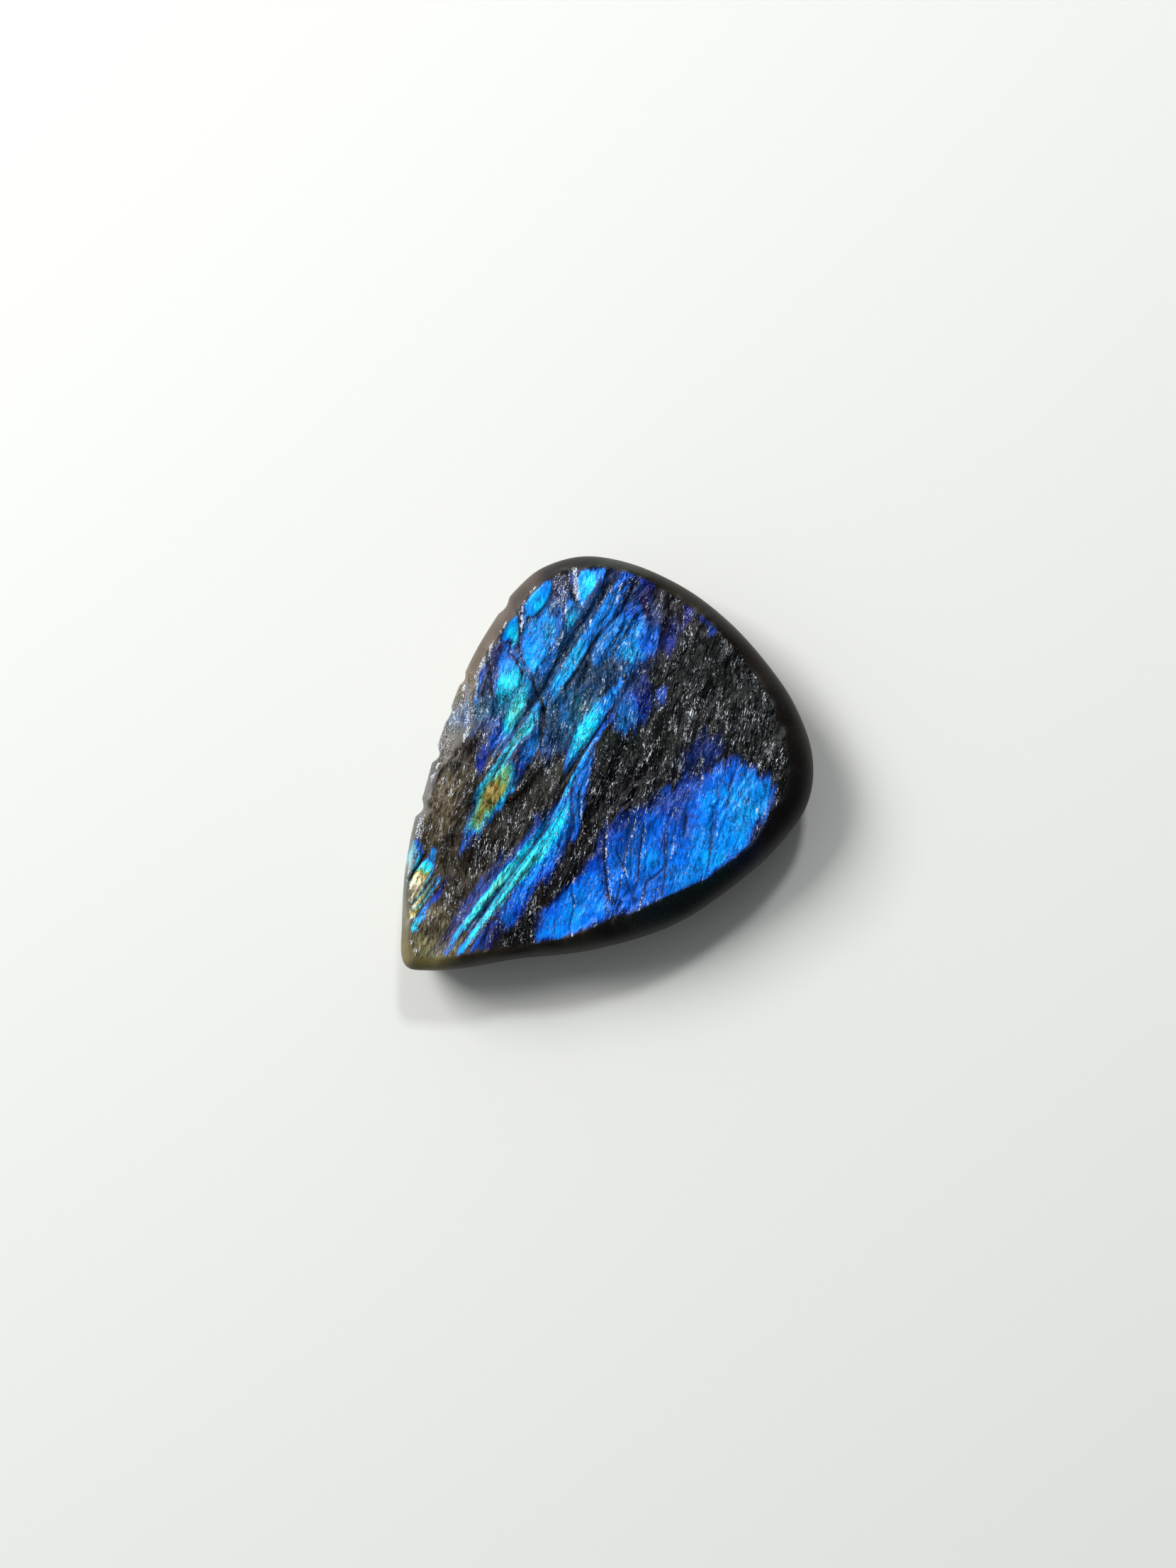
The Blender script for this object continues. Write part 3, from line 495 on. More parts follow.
# Rough, pale, broken places: softness of the edge, and points with a half width and a strength
FROSTS = {
    "broken rim": (0.9, [(-11.2, 0.2, 0.3, 0.18), (-10.6, -1.4, 0.7, 0.22), (-9.7, -2.8, 0.8, 0.24),
        (-9.2, -3.9, 0.7, 0.28), (-8.9, -4.9, 0.4, 0.25)]),
    "white splinters": (0.7, [(-9.7, -0.8, 0.16, 0.6), (-9.2, -1.3, 0.28, 0.62), (-8.7, -1.9, 0.2, 0.66)]),
    "first ripple": (0.8, [(-11.36, 0.35, 0.1, 0.8), (-11.15, -0.05, 0.16, 0.85),
        (-10.85, -0.35, 0.08, 0.7)]),
    "second ripple": (0.8, [(-11.1, -0.6, 0.08, 0.7), (-10.75, -0.85, 0.13, 0.8), (-10.3, -0.95, 0.08, 0.7)]),
    "swirl": (0.8, [(-10.95, -1.75, 0.08, 0.7), (-10.5, -1.72, 0.13, 0.75), (-10.1, -1.95, 0.12, 0.75),
        (-9.8, -2.3, 0.07, 0.7)]),
    "inner swirl": (0.8, [(-10.8, -2.15, 0.08, 0.65), (-10.4, -2.1, 0.11, 0.7), (-10.1, -2.45, 0.08, 0.65)]),
    "edge ripple": (0.8, [(-9.95, -3.5, 0.06, 0.7), (-9.7, -4, 0.1, 0.8), (-9.35, -4.75, 0.07, 0.75)]),
    "inner ripple": (0.8, [(-9.6, -3.4, 0.06, 0.65), (-9.35, -3.95, 0.09, 0.75), (-9.05, -4.6, 0.06, 0.7)]),
    "cream ripple": (0.8, [(-8.75, -3.55, 0.08, 0.75), (-8.5, -3.95, 0.12, 0.8), (-8.25, -4.3, 0.08, 0.7)]),
    "notch light": (0.7, [(-8.65, -5, 0.1, 0.75), (-8.35, -5.8, 0.16, 0.8), (-7.95, -6.8, 0.12, 0.7)]),
    "upper ripple": (0.8, [(-10, 1.6, 0.07, 0.7), (-9.7, 1.15, 0.1, 0.75), (-9.3, 1, 0.08, 0.7)]),
    "middle ripple": (0.8, [(-9.7, 0.5, 0.07, 0.65), (-9.2, 0.1, 0.11, 0.7), (-8.9, -0.4, 0.07, 0.6)]),
    "scarp wall": (0.8, [(-11.6, 12.1, 0.26, 0.55), (-10.9, 11.6, 0.26, 0.6), (-10.1, 11, 0.2, 0.6),
        (-9.7, 10.6, 0.1, 0.6)]),
    "leaf border": (0.5, [(-12.75, 9.4, 0.12, 0.7), (-12.85, 8.2, 0.12, 0.75), (-12.6, 7.6, 0.16, 0.85),
        (-11.6, 6.6, 0.14, 0.85), (-11.2, 6.1, 0.1, 0.7)]),
    "small border": (0.5, [(-12.7, 6.7, 0.1, 0.85), (-12.35, 5.6, 0.12, 0.9), (-12.15, 4.9, 0.1, 0.8)]),
    "corner border": (0.6, [(-12.1, 4.1, 0.12, 0.8), (-11.7, 3.2, 0.14, 0.8), (-11.4, 2.2, 0.2, 0.8),
        (-11, 1.2, 0.2, 0.7), (-10.2, 0.6, 0.2, 0.5)]),
    "upper mist": (0.9, [(-12.6, 11, 0.5, 0.3), (-11.6, 10.8, 0.5, 0.3), (-10.8, 9.4, 0.5, 0.35)]),
    "corner mist": (0.9, [(-9.9, -0.3, 0.4, 0.3), (-8.9, 0, 0.4, 0.28)]),
    "top face glare": (0.8, [(-10.45, 12.95, 0.05, 0.8), (-10.05, 12.2, 0.06, 0.85), (-9.7, 11.4, 0.06, 0.8),
        (-9.3, 10.5, 0.05, 0.7)]),
    "teal glare": (0.8, [(-10.7, 10.5, 0.05, 0.7), (-10, 9.6, 0.07, 0.8), (-9.4, 8.8, 0.06, 0.8)]),
    "second glare": (0.8, [(-9.1, 8.6, 0.08, 0.8), (-8.6, 7.7, 0.08, 0.7), (-8.4, 6.9, 0.05, 0.6)]),
    "blue edge": (0.8, [(-9.2, 0, 0.12, 0.5), (-8.7, 0.3, 0.15, 0.6), (-8.1, 0.4, 0.1, 0.5)]),
    "crack beads": (0.8, [(4.9, 3.2, 0.1, 0.6), (5.4, 2.7, 0.1, 0.75), (6, 2, 0.1, 0.75),
        (6.6, 1.2, 0.09, 0.7), (7.1, 0.5, 0.07, 0.55), (7.5, 0.1, 0.05, 0.4)]),
    "inner beads": (0.8, [(3.9, 2.5, 0.12, 0.7), (4.5, 2.7, 0.14, 0.7), (5.1, 1.8, 0.1, 0.75),
        (5.7, 0.7, 0.08, 0.7), (6.2, -0.2, 0.09, 0.75), (6.9, -1.3, 0.09, 0.8), (7.3, -1.9, 0.05, 0.5)]),
    "first beads": (0.8, [(3.8, 1.8, 0.06, 0.5), (4.25, 1.2, 0.07, 0.6), (4.5, 0.7, 0.06, 0.6)]),
    "bright bead": (0.8, [(6.88, -1.25, 0.12, 1), (7, -1.45, 0.1, 1)]),
    "scarp beads": (0.8, [(3.9, 0, 0.1, 0.8), (4.4, -0.5, 0.1, 0.8), (5.1, -1.2, 0.07, 0.7),
        (6, -1.9, 0.08, 0.7), (6.9, -2.6, 0.07, 0.7), (7.6, -3, 0.07, 0.6)]),
    "line beads": (0.8, [(4.9, -0.05, 0.06, 0.6), (5.9, -0.5, 0.07, 0.6), (6.8, -0.9, 0.08, 0.7),
        (7.6, -1.4, 0.07, 0.6)]),
    "outer beads": (0.8, [(7.6, 3.4, 0.09, 0.6), (8.1, 3, 0.11, 0.7), (8.5, 2.2, 0.08, 0.6),
        (9, 1.4, 0.06, 0.6), (9.5, 0.8, 0.05, 0.5)]),
    "low outer beads": (0.8, [(8.6, -0.6, 0.07, 0.7), (8.95, -1.2, 0.08, 0.7), (9.3, -1.8, 0.08, 0.7),
        (9.7, -2.4, 0.07, 0.7)]),
    "upper beads": (0.8, [(5.1, 9, 0.1, 0.6), (5.4, 8.2, 0.12, 0.7), (6, 8.05, 0.1, 0.7),
        (6.5, 7.3, 0.06, 0.8)]),
    "upper long beads": (0.8, [(3.9, 11.6, 0.06, 0.6), (4.5, 10.6, 0.07, 0.7), (5, 9.6, 0.07, 0.7)]),
    "patch beads": (0.8, [(9.2, 8.7, 0.1, 0.5), (9.8, 8, 0.12, 0.5)]),
    "dark patch beads": (0.8, [(8.9, 6.6, 0.1, 0.45), (9.5, 6.1, 0.14, 0.5), (9.9, 5.7, 0.08, 0.5)]),
    "rim bead": (0.8, [(10.6, 9.2, 0.12, 0.9), (10.65, 8.9, 0.12, 0.9)]),
    "lower sheet beads": (0.8, [(4.6, -4.1, 0.12, 0.85), (5, -4.7, 0.08, 0.85), (5.7, -5.05, 0.07, 0.8),
        (5.9, -5.35, 0.07, 0.8), (6.2, -5.7, 0.05, 0.5)]),
    "lower sheet glint": (0.8, [(6.75, -3.75, 0.07, 0.9), (6.87, -4.2, 0.06, 0.9)]),
    "lower sheet corner": (0.8, [(4.8, -6.9, 0.09, 0.85), (5, -6.4, 0.1, 0.9)]),
    "lower sheet rim glint": (0.8, [(7.4, -7.1, 0.13, 0.7), (7.55, -7.25, 0.08, 0.7)]),
    "knee beads": (0.8, [(0.2, 0.9, 0.08, 0.6), (1, 0.3, 0.1, 0.7), (1.9, -0.6, 0.1, 0.8),
        (2.3, -1.1, 0.07, 0.7)]),
    "middle beads": (0.8, [(0.2, 9.6, 0.1, 0.9), (0.35, 9.2, 0.12, 0.95)]),
    "left patch light": (1.2, [(-5, -11.2, 0.24, 0.6), (-4.8, -11.8, 0.34, 0.85), (-4.5, -12.5, 0.28, 0.85),
        (-4.2, -13.1, 0.22, 0.6)]),
    "lower rim": (0.9, [(-7.3, -8.6, 0.5, 0.5), (-6, -9.8, 0.5, 0.45), (-5.7, -10.6, 0.3, 0.5)]),
}

# Body colour under the flash, in sRGB, at places on the split face
FACE_TINTS = [
    ((-5, 14.8), (36, 33, 40)), ((1, 14), (27, 29, 29)), ((7, 13.5), (21, 23, 23)), ((0, 7), (25, 30, 28)),
    ((3, 8.5), (29, 30, 28)), ((2.2, 2.8), (10, 10, 18)), ((3.6, 5), (16, 16, 21)),
    ((3.6, -4.5), (14, 14, 21)), ((5, -10), (17, 16, 18)), ((-2, -3), (25, 24, 20)),
    ((-2, -7.5), (29, 25, 23)), ((-5.5, -7.5), (100, 88, 68)), ((-6.8, -6.2), (106, 94, 74)),
    ((-4.5, -5), (46, 43, 35)), ((-1, -11), (70, 61, 52)), ((-0.6, -14), (104, 94, 72)),
    ((0.2, -16.4), (150, 145, 104)), ((-8, -2.5), (38, 33, 30)), ((-8.6, 0.8), (40, 44, 46)),
    ((-10.2, -0.9), (110, 102, 80)), ((-9.3, -0.6), (66, 78, 78)), ((-9.3, -2.8), (98, 86, 70)),
    ((-8.7, -4.2), (66, 62, 54)), ((-6, 5), (24, 34, 38)), ((-8.8, 11.5), (26, 34, 42)),
    ((-12, 10.6), (58, 58, 80)), ((-3.4, 4.4), (30, 46, 48)),
]

# Colour of the ground rim and the side, in sRGB, at places around the outline
RIM_TINTS = [
    ((-10, 15), (48, 51, 44)), ((-7, 16.4), (36, 31, 24)), ((0, 17.5), (24, 18, 14)),
    ((8, 16.3), (18, 14, 11)), ((13.5, 9), (10, 8, 8)), ((12.3, 6.5), (5, 12, 30)), ((12, 3.2), (5, 22, 26)),
    ((13.4, 3), (9, 11, 11)), ((11, -1.6), (6, 18, 22)), ((10.5, -5), (14, 12, 11)),
    ((6.5, -10.5), (18, 15, 12)), ((4.2, -13.8), (38, 30, 22)), ((1.6, -16.9), (104, 96, 58)),
    ((-0.8, -17.3), (126, 116, 84)), ((-2.6, -15.4), (116, 112, 98)), ((-4.9, -12.7), (128, 132, 124)),
    ((-7.2, -9.2), (106, 103, 98)), ((-8.5, -6.4), (112, 108, 106)), ((-9.2, -5.1), (78, 72, 60)),
    ((-9.8, -3.9), (112, 104, 94)), ((-10.4, -2.4), (92, 100, 102)), ((-10.8, -1.4), (104, 100, 84)),
    ((-11.5, 0), (116, 104, 82)), ((-12.4, 2), (112, 99, 88)), ((-13.4, 5.5), (98, 88, 80)),
    ((-13.8, 8.5), (80, 70, 65)), ((-13.2, 11.2), (52, 48, 48)), ((-12, 13.4), (40, 41, 39)),
]
TINT_SOFTNESS = 0.05
SIDE_SOFTNESS = 4.0
TINT_FADE = 1.8
BACK_TINT = (58, 58, 54)
BACK_TINT_HEIGHT = 1.5
BODY_SHARE = 0.80
PALE = (202, 212, 224)
GLINT_COLOUR = (206, 216, 226)
FLASH_GLINT = (170, 228, 255)

# Pale lines narrower than this break up into beads, whose noise is given by size, contrast and lift
FINE_LINE = 0.2
BEAD_SHARE = 0.8
BEAD_NOISE = (0.24, 2.4, 0.30)
LIP_PALENESS = 0.45
LIP_LIGHT_REACH = 0.12
LIP_GAPS = (17, 50, 0.7)
BROKEN_PALENESS = 0.12
EDGE_CALM = 0.7

# How far the dark of steps, grooves and cracks reaches, and how dark it is for each millimetre of depth
STEP_SHADE, LIP_SHADE, STEP_DARKNESS = 0.40, 0.07, 4.5
GROOVE_SHADE, GROOVE_DARKNESS, GROOVE_DARKEST = 0.42, 2.6, 0.8
CRACK_SHADE = 1.3

# Fraying of coloured edges along the splinters: size across, size along, distance
FRAY_FINE = (0.17, 0.9, 0.55)
FRAY_WIDE = (0.5, 2.0, 0.50)
FRAY_ACROSS = (0.9, 1.3, 0.12)
FRAY_LEAST = 0.15
FRAY_CALMED = 0.8
FRAY_RIBBED = 0.65

# Ragged border of the ground rim: noise size across and along, and its share
RAGGED_BORDER = (0.3, 0.4, 0.5)
BORDER_STEEPNESS, BORDER_SHIFT, BORDER_RAGGEDNESS = 1.6, 0.15, 4

# Ragged border of the break: size along Y, size in height, share, and how far it moves floor and sides
WIDE_RAGGED = (0.8, 0.5, 1.0)
FINE_RAGGED = (0.26, 0.2, 0.6)
RAGGED_FLOOR, RAGGED_SIDE = 0.6, 0.5

# Noises of the finish: width and length in millimetres, detail, roughness
FIBRE = (0.12, 0.70, 2.5, 0.6)
RIB_FIBRE = (0.12, 2.2, 2.5, 0.6)
STREAK = (0.070, 0.52, 1.5, 0.6)
RIB_STREAK = (0.085, 0.60, 1.5, 0.6)
RIB_LINE = (0.34, 12.0, 2.0, 0.6)
SPECK = (0.075, 0.16, 3.0, 0.65)
PATCH = (2.2, 3.0, 2.0, 0.5)
BAND = (0.9, 3.2, 3.0, 0.5)
CLUMP = (0.46, 1.60, 2.0, 0.5)
HAIR = (0.34, 1.7, 3.0, 0.55)
CROSS_HAIR = (0.50, 0.80, 3.0, 0.55)

# Cells of the finish, width and length in millimetres
FINE_SPLINTER = (0.14, 0.55)
CELL_TILT = 2.4
CELL_LIFT = 1.2
CRACKLE = (0.75, 1.30)
CRACKLE_WARP = (2.2, 2.0)

# How a noise turns into a share: noise from and to, share from and to
CURVES = {
    "fibre gap": (0.32, 0.48, 0.45, 1),
    "splinter gap": (0, 0.3, 0.75, 1),
    "speck gap": (0.30, 0.48, 0.82, 1),
    "rib gap": (0.50, 0.36, 0, 0.75),
    "crackle": (0.07, 0, 0, 1),
    "hair dark": (0.042, 0.006, 0, 1),
    "hair pale": (0.030, 0.004, 0, 1),
    "hair step": (0.46, 0.54, 0, 1),
    "hair break": (0.38, 0.52, 0, 1),
    "cross hair patch": (0.42, 0.58, 0, 1),
    "hair edge break": (0.50, 0.62, 0, 1),
    "fibre light": (0.30, 0.65, 0.25, 1.3),
    "band light": (0.25, 0.75, 0.6, 1.3),
    "rim patch": (0.30, 0.70, 0.72, 1.22),
    "rim speck": (0.3, 0.7, 0.90, 1.10),
    "glint": (0.66, 0.705, 0, 1),
    "glint break": (0.36, 0.54, 0.42, 1),
    "hair glint": (0.46, 0.62, 0.06, 0.85),
    "pale speck": (0.30, 0.70, 0, 1),
    "pale fibre": (0.35, 0.60, 0.55, 0.90),
    "roughness": (0.3, 0.7, 0.20, 0.42),
    "rim roughness": (0.3, 0.7, 0.36, 0.50),
}

# Shares of the finish's parts
CALM_SHARE = 0.75
HAIR_SHARE, CALM_HAIR_SHARE = 0.90, 0.45
HAIR_MIDDLE, HAIR_EDGE = 0.5, 0.555
BAND_TONE, FIBRE_TONE = 0.14, 0.10
CRACKLE_SHARE = 0.5
SHADE_DARKNESS, HAIR_DARKNESS = 0.7, 0.6
CLUMP_SHARE, PATCH_SHARE = 0.34, 0.14
BODY_GLINTS, FLASH_GLINTS = 0.90, 0.50
PALE_FROM, PALE_TO = 0.95, 1.20
SPLINTER_BUMP = 0.06
STREAK_BUMP = 0.9
STEP_BUMP, CROSS_STEP, MEAN_STEP = 0.35, 0.5, 0.75
SPECK_BUMP = 0.22
PALE_ROUGHNESS = 0.12
FLASH_METAL = 0.08
STONE_IOR = 1.56
STONE_SPECULAR = 0.10

# Places on the texture: the face, the back in small, and the side as a strip
FACE_MAP = (0.96, 0.02)
BACK_MAP = (0.24, 0.79, 0.02)
SIDE_MAP = (0.80, 0.18, 0.32, 0.66)
WRAP_SPAN = 0.3
WRAP_FROM = 0.65

# Camera and picture
PICTURE_SIZE = (1659, 2212)
STONE_AT_PIXEL = (803.25, 1122.75)
PIXELS_PER_MM = 18.8
CAMERA_DISTANCE = 180.0
OUTLINE_PLANE = 4.7
CAMERA_ROLL = math.radians(45)
SENSOR_HEIGHT = 24.0
NEAREST, FARTHEST = 0.01, 10

# Studio: lights by place, size, power and colour, and the world by the side that is bright
WINDOW = ((-470, -60, 400), 280, 4.6, (1.0, 0.99, 0.97))
SPARKLE = ((-260, 340, 480), 70, 1.4, (1.0, 1.0, 1.0))
BRIGHT_SIDE = (-0.85, -0.15, -0.50)
SIDE_SPAN = 0.9
DIM_WORLD = 0.07
BRIGHT_WORLD = 1.00
WORLD_COLOUR = (0.93, 0.96, 1.0, 1)
FLOOR_COLOUR = (0.66, 0.67, 0.645, 1)
FLOOR_ROUGHNESS = 0.8
FLOOR_SIZE = 1600.0
FLOOR_GAP = 0.02


def spline_point(a, b, c, d, t):
    """A point between b and c on the Catmull-Rom curve through a, b, c and d."""
    return 0.5 * (
        2 * b + (c - a) * t + (2 * a - 5 * b + 4 * c - d) * t**2 + (3 * b - a - 3 * c + d) * t**3
    )


def smooth(points, steps):
    """A closed smooth curve through the points."""
    points = np.array(points, float)
    count = len(points)
    rows = [
        spline_point(points[i - 1], points[i], points[(i + 1) % count], points[(i + 2) % count], k / steps)
        for i in range(count)
        for k in range(steps)
    ]
    return np.array(rows)


def spread(loop, count):
    """Points at even distances around a closed curve."""
    closed = np.vstack([loop, loop[:1]])
    run = np.concatenate([[0], np.cumsum(np.hypot(*np.diff(closed, axis=0).T))])
    at = np.linspace(0, run[-1], count, endpoint=False)
    return np.column_stack([np.interp(at, run, closed[:, k]) for k in (0, 1)])


def outward(loop):
    """Unit normals that point out of an anticlockwise closed curve, evened out over a few of its points."""
    tangent = np.roll(loop, -1, axis=0) - np.roll(loop, 1, axis=0)
    tangent = sum(np.roll(tangent, k, axis=0) for k in range(-NORMAL_REACH, NORMAL_REACH + 1))
    normal = np.column_stack([tangent[:, 1], -tangent[:, 0]])
    return normal / np.hypot(*normal.T)[:, None]


def fitted_outline():
    """The outline at the solid's length and width, over the solid's middle."""
    curve = smooth(OUTLINE, SPLINE_STEPS)
    low, high = curve.min(axis=0), curve.max(axis=0)
    curve = (curve - (low + high) / 2) * np.array([WIDTH, LENGTH]) / (high - low) + MIDDLE
    return spread(curve, OUTLINE_SAMPLES)


def nicks(loop, normals):
    """How each point of the outline moves where the nicks are pressed in."""
    depth = np.zeros(len(loop))
    for place, radius, deepest in NICKS:
        away = np.hypot(*(loop - place).T)
        depth += deepest * np.clip(1 - (away / radius) ** 2, 0, 1) ** 1.5
    return -normals * depth[:, None]


def rim_widths(loop):
    """The width of the ground rim at each point of the outline."""
    at = [int(np.argmin(np.hypot(*(loop - place).T))) for place, _ in RIM_WIDTHS]
    pairs = sorted(zip(at, (width for _, width in RIM_WIDTHS)))
    places, widths = np.array(pairs, float).T
    return np.interp(np.arange(len(loop)), places, widths, period=len(loop))


def noise_table(seed):
    return np.random.default_rng(seed).uniform(-1, 1, (NOISE_SIZE, NOISE_SIZE))


def noise(u, v, seed):
    """Smooth noise between -1 and 1, with one cell for each whole step of u and v."""
    table = noise_table(seed)
    i, j = np.floor(u).astype(int), np.floor(v).astype(int)
    s, t = eased(u - i), eased(v - j)
    size = NOISE_SIZE
    near = table[i % size, j % size] * (1 - s) + table[(i + 1) % size, j % size] * s
    far = table[i % size, (j + 1) % size] * (1 - s) + table[(i + 1) % size, (j + 1) % size] * s
    return near * (1 - t) + far * t


def relief(across, along, size, seed):
    """Smooth noise of a size across the grain, a size along it and a height."""
    wide, long, height = size
    return height * noise(across / wide, along / long, seed)


def eased(value):
    """0 below 0, 1 above 1, and a smooth way between them."""
    value = np.clip(value, 0, 1)
    return value * value * (3 - 2 * value)


def turned(points, turn):
    """Distance across and along a direction that leans by turn from -Y towards +X."""
    across = points[:, 0] * math.cos(turn) + points[:, 1] * math.sin(turn)
    along = points[:, 0] * math.sin(turn) - points[:, 1] * math.cos(turn)
    return across, along


def laid(across, along):
    """Points at distances across and along the splinters."""
    return np.column_stack(turned(np.column_stack([across, along]), SPLINTER_TURN))


def to_segments(points, line):
    """For each point: its distance to the line, its side, and the nearest segment and share of it."""
    line = np.array(line, float)
    best = np.full(len(points), np.inf)
    side = np.zeros(len(points))
    piece = np.zeros(len(points), int)
    share = np.zeros(len(points))
    for k, (start, end) in enumerate(zip(line[:-1], line[1:])):
        length = math.hypot(*(end - start))
        way = (end - start) / length
        offset = points - start
        run = np.clip(offset @ way, 0, length)
        distance = np.hypot(*(offset - run[:, None] * way).T)
        nearer = distance < best
        best[nearer] = distance[nearer]
        side[nearer] = np.sign(offset[nearer, 1] * way[0] - offset[nearer, 0] * way[1])
        piece[nearer] = k
        share[nearer] = run[nearer] / length
    return best, side, piece, share


def to_line(points, line):
    """For each point: its distance to the line, whether it is on the right of it, and how far along it is."""
    distance, side, piece, share = to_segments(points, line)
    lengths = np.hypot(*np.diff(np.array(line, float), axis=0).T)
    starts = np.concatenate([[0], np.cumsum(lengths)])
    run = (starts[piece] + share * lengths[piece]) / starts[-1]
    return distance, side < 0, run


def tapered(share):
    """1 along a line, falling to 0 at both of its ends."""
    return eased(share / LINE_TAPER) * eased((1 - share) / LINE_TAPER)


def scarp(points, line, drop, reach):
    """A step: the right side drops at once and comes back slowly, and the left side has a slight lip."""
    distance, right, share = to_line(points, line)
    low = -drop * np.clip(distance / STEP_RAMP, 0, 1) * (1 - eased(distance / reach))
    edge = LIP_SHARE * drop * (1 - eased(distance / STEP_RAMP))
    lip = LIP_SHARE * drop * (1 - eased(distance / (LIP_REACH * reach)))
    return np.where(right, low + edge, lip) * tapered(share)


def groove(points, line, half_width, depth):
    """A V-shaped groove."""
    distance, _, share = to_line(points, line)
    return -depth * np.clip(1 - distance / half_width, 0, 1) * tapered(share)


def inside(points, outline):
    """How far inside an outline each point is, below 0 outside it."""
    ring = np.array(list(outline) + [outline[0]], float)
    distance = to_segments(points, ring)[0]
    crossed = np.zeros(len(points), bool)
    for (ax, ay), (bx, by) in zip(ring[:-1], ring[1:]):
        if ay == by:
            continue
        spans = (ay > points[:, 1]) != (by > points[:, 1])
        crossed ^= spans & (points[:, 0] < ax + (bx - ax) * (points[:, 1] - ay) / (by - ay))
    return np.where(crossed, distance, -distance)


def covered(points, outline, soft):
    """1 inside an outline and 0 outside it, with a soft border."""
    return eased(inside(points, outline) / soft + 0.5)


def body_height(points):
    """The face without its detail: nearly flat, a little domed, thinner towards the point."""
    away = np.hypot(points[:, 0] / (WIDTH / 2), (points[:, 1] - DOME_TOP_Y) / (LENGTH / 2))
    thin = TIP_THINNING * eased((TIP_START - points[:, 1]) / (TIP_START - TIP_END))
    return FACE_HEIGHT + FACE_DOME * (1 - away**2) - thin


def layers(points):
    """Long low ridges and small terraces where the layers of the crystal broke."""
    across, along = turned(points, LAYER_TURN)
    height = relief(across, along, WIDE_RIDGES, SEED) + relief(across, along, NARROW_RIDGES, SEED + 1)
    slope = TERRACE_SLOPE * across
    terrace = relief(across, along, TERRACE_SIZE, SEED + 2) + slope
    whole = np.floor(terrace)
    return height + TERRACE_HEIGHT * (whole + eased((terrace - whole) / TERRACE_RISE) - slope)


def splinters(points):
    """The coarse part of the splintered grain."""
    across, along = turned(points, SPLINTER_TURN)
    coarse = relief(across, along, COARSE_SPLINTERS, SEED + 3)
    return coarse + relief(across, along, SHORT_SPLINTERS, SEED + 4)


def flat_splinters(points, width, length, seed):
    """The height of flat tilted splinters, each at its own place in a cell."""
    across, along = turned(points, SPLINTER_TURN)
    bend = relief(across, along, SPLINTER_BEND, seed + 20)
    u, v = (across + bend) / width, along / length
    i, j = np.floor(u).astype(int), np.floor(v).astype(int)
    place_u, place_v, tilt_u, tilt_v, lift = (noise_table(seed + k) for k in range(5))
    best = np.full(len(points), np.inf)
    height = np.zeros(len(points))
    for step_u in (-1, 0, 1):
        for step_v in (-1, 0, 1):
            a, b = (i + step_u) % NOISE_SIZE, (j + step_v) % NOISE_SIZE
            off_u = u - (i + step_u + 0.5 + SPLINTER_SHIFT * place_u[a, b])
            off_v = v - (j + step_v + 0.5 + SPLINTER_SHIFT * place_v[a, b])
            distance = off_u**2 + off_v**2
            tilted = SPLINTER_LIFT * lift[a, b] + tilt_u[a, b] * off_u + SPLINTER_DIP * tilt_v[a, b] * off_v
            height = np.where(distance < best, tilted, height)
            best = np.minimum(best, distance)
    return height


def fine_splinters(points):
    """Splinters down to a quarter of a millimetre."""
    return sum(
        height * flat_splinters(points, width, length, SEED + shift)
        for width, length, shift, height in FLAT_SPLINTERS
    )


def calmness(points):
    """Up to 1 on smooth cleavage faces, 0 on splintered ones."""
    calm = np.zeros(len(points))
    for outline, _, _, _, most, soft in FACETS.values():
        calm = np.maximum(calm, most * covered(points, outline, soft))
    return calm


def cleavage_faces(points):
    """The lift and tilt of the smooth cleavage faces."""
    height = np.zeros(len(points))
    for outline, tilt_x, tilt_y, lift, _, soft in FACETS.values():
        away = points - np.mean(outline, axis=0)
        height += covered(points, outline, soft) * (lift + tilt_x * away[:, 0] + tilt_y * away[:, 1])
    return height


def across_ribs(points):
    """Distance across the ribs, which run with the left curve and the middle one and fan out between them."""
    left, middle = (
        np.interp(-points[:, 1], [-y for _, y in curve], [x for x, _ in curve])
        for curve in (LEFT_RIB, MIDDLE_RIB)
    )
    share = (points[:, 0] - left) / (middle - left)
    outside = np.where(share < 0, points[:, 0] - left, RIB_SPAN + points[:, 0] - middle)
    return np.where((share > 0) & (share < 1), RIB_SPAN * share, outside)


def ribbing(points):
    """1 where the face is ribbed along its layers."""
    return np.max([covered(points, outline, RIB_FADE) for outline in RIBBED.values()], axis=0)


def ribs(points):
    """Long low ribs."""
    across, along = across_ribs(points), -points[:, 1]
    return relief(across, along, WIDE_RIBS, SEED + 12) + relief(across, along, NARROW_RIBS, SEED + 13)


def face_height(points, open_face=1.0):
    """Height of the split face over the back, in millimetres, with no fine grain where open_face is 0."""
    calm = calmness(points)
    ribbed = ribbing(points)
    height = body_height(points) + layers(points) * (1 - LAYERS_CALMED * calm) + cleavage_faces(points)
    left = (1 - SPLINTERS_CALMED * calm) * (1 - SPLINTERS_RIBBED * ribbed) * open_face
    height += (splinters(points) + fine_splinters(points)) * left
    height += ribs(points) * ribbed * open_face
    for line, drop, reach in SCARPS.values():
        height += scarp(points, line, drop, reach)
    for line, half_width, depth in GROOVES.values():
        height += groove(points, line, half_width, depth)
    for line, half_width, darkness in CRACKS.values():
        height += groove(points, line, CRACK_WIDTH * half_width, CRACK_DEPTH * half_width * darkness)
    return height


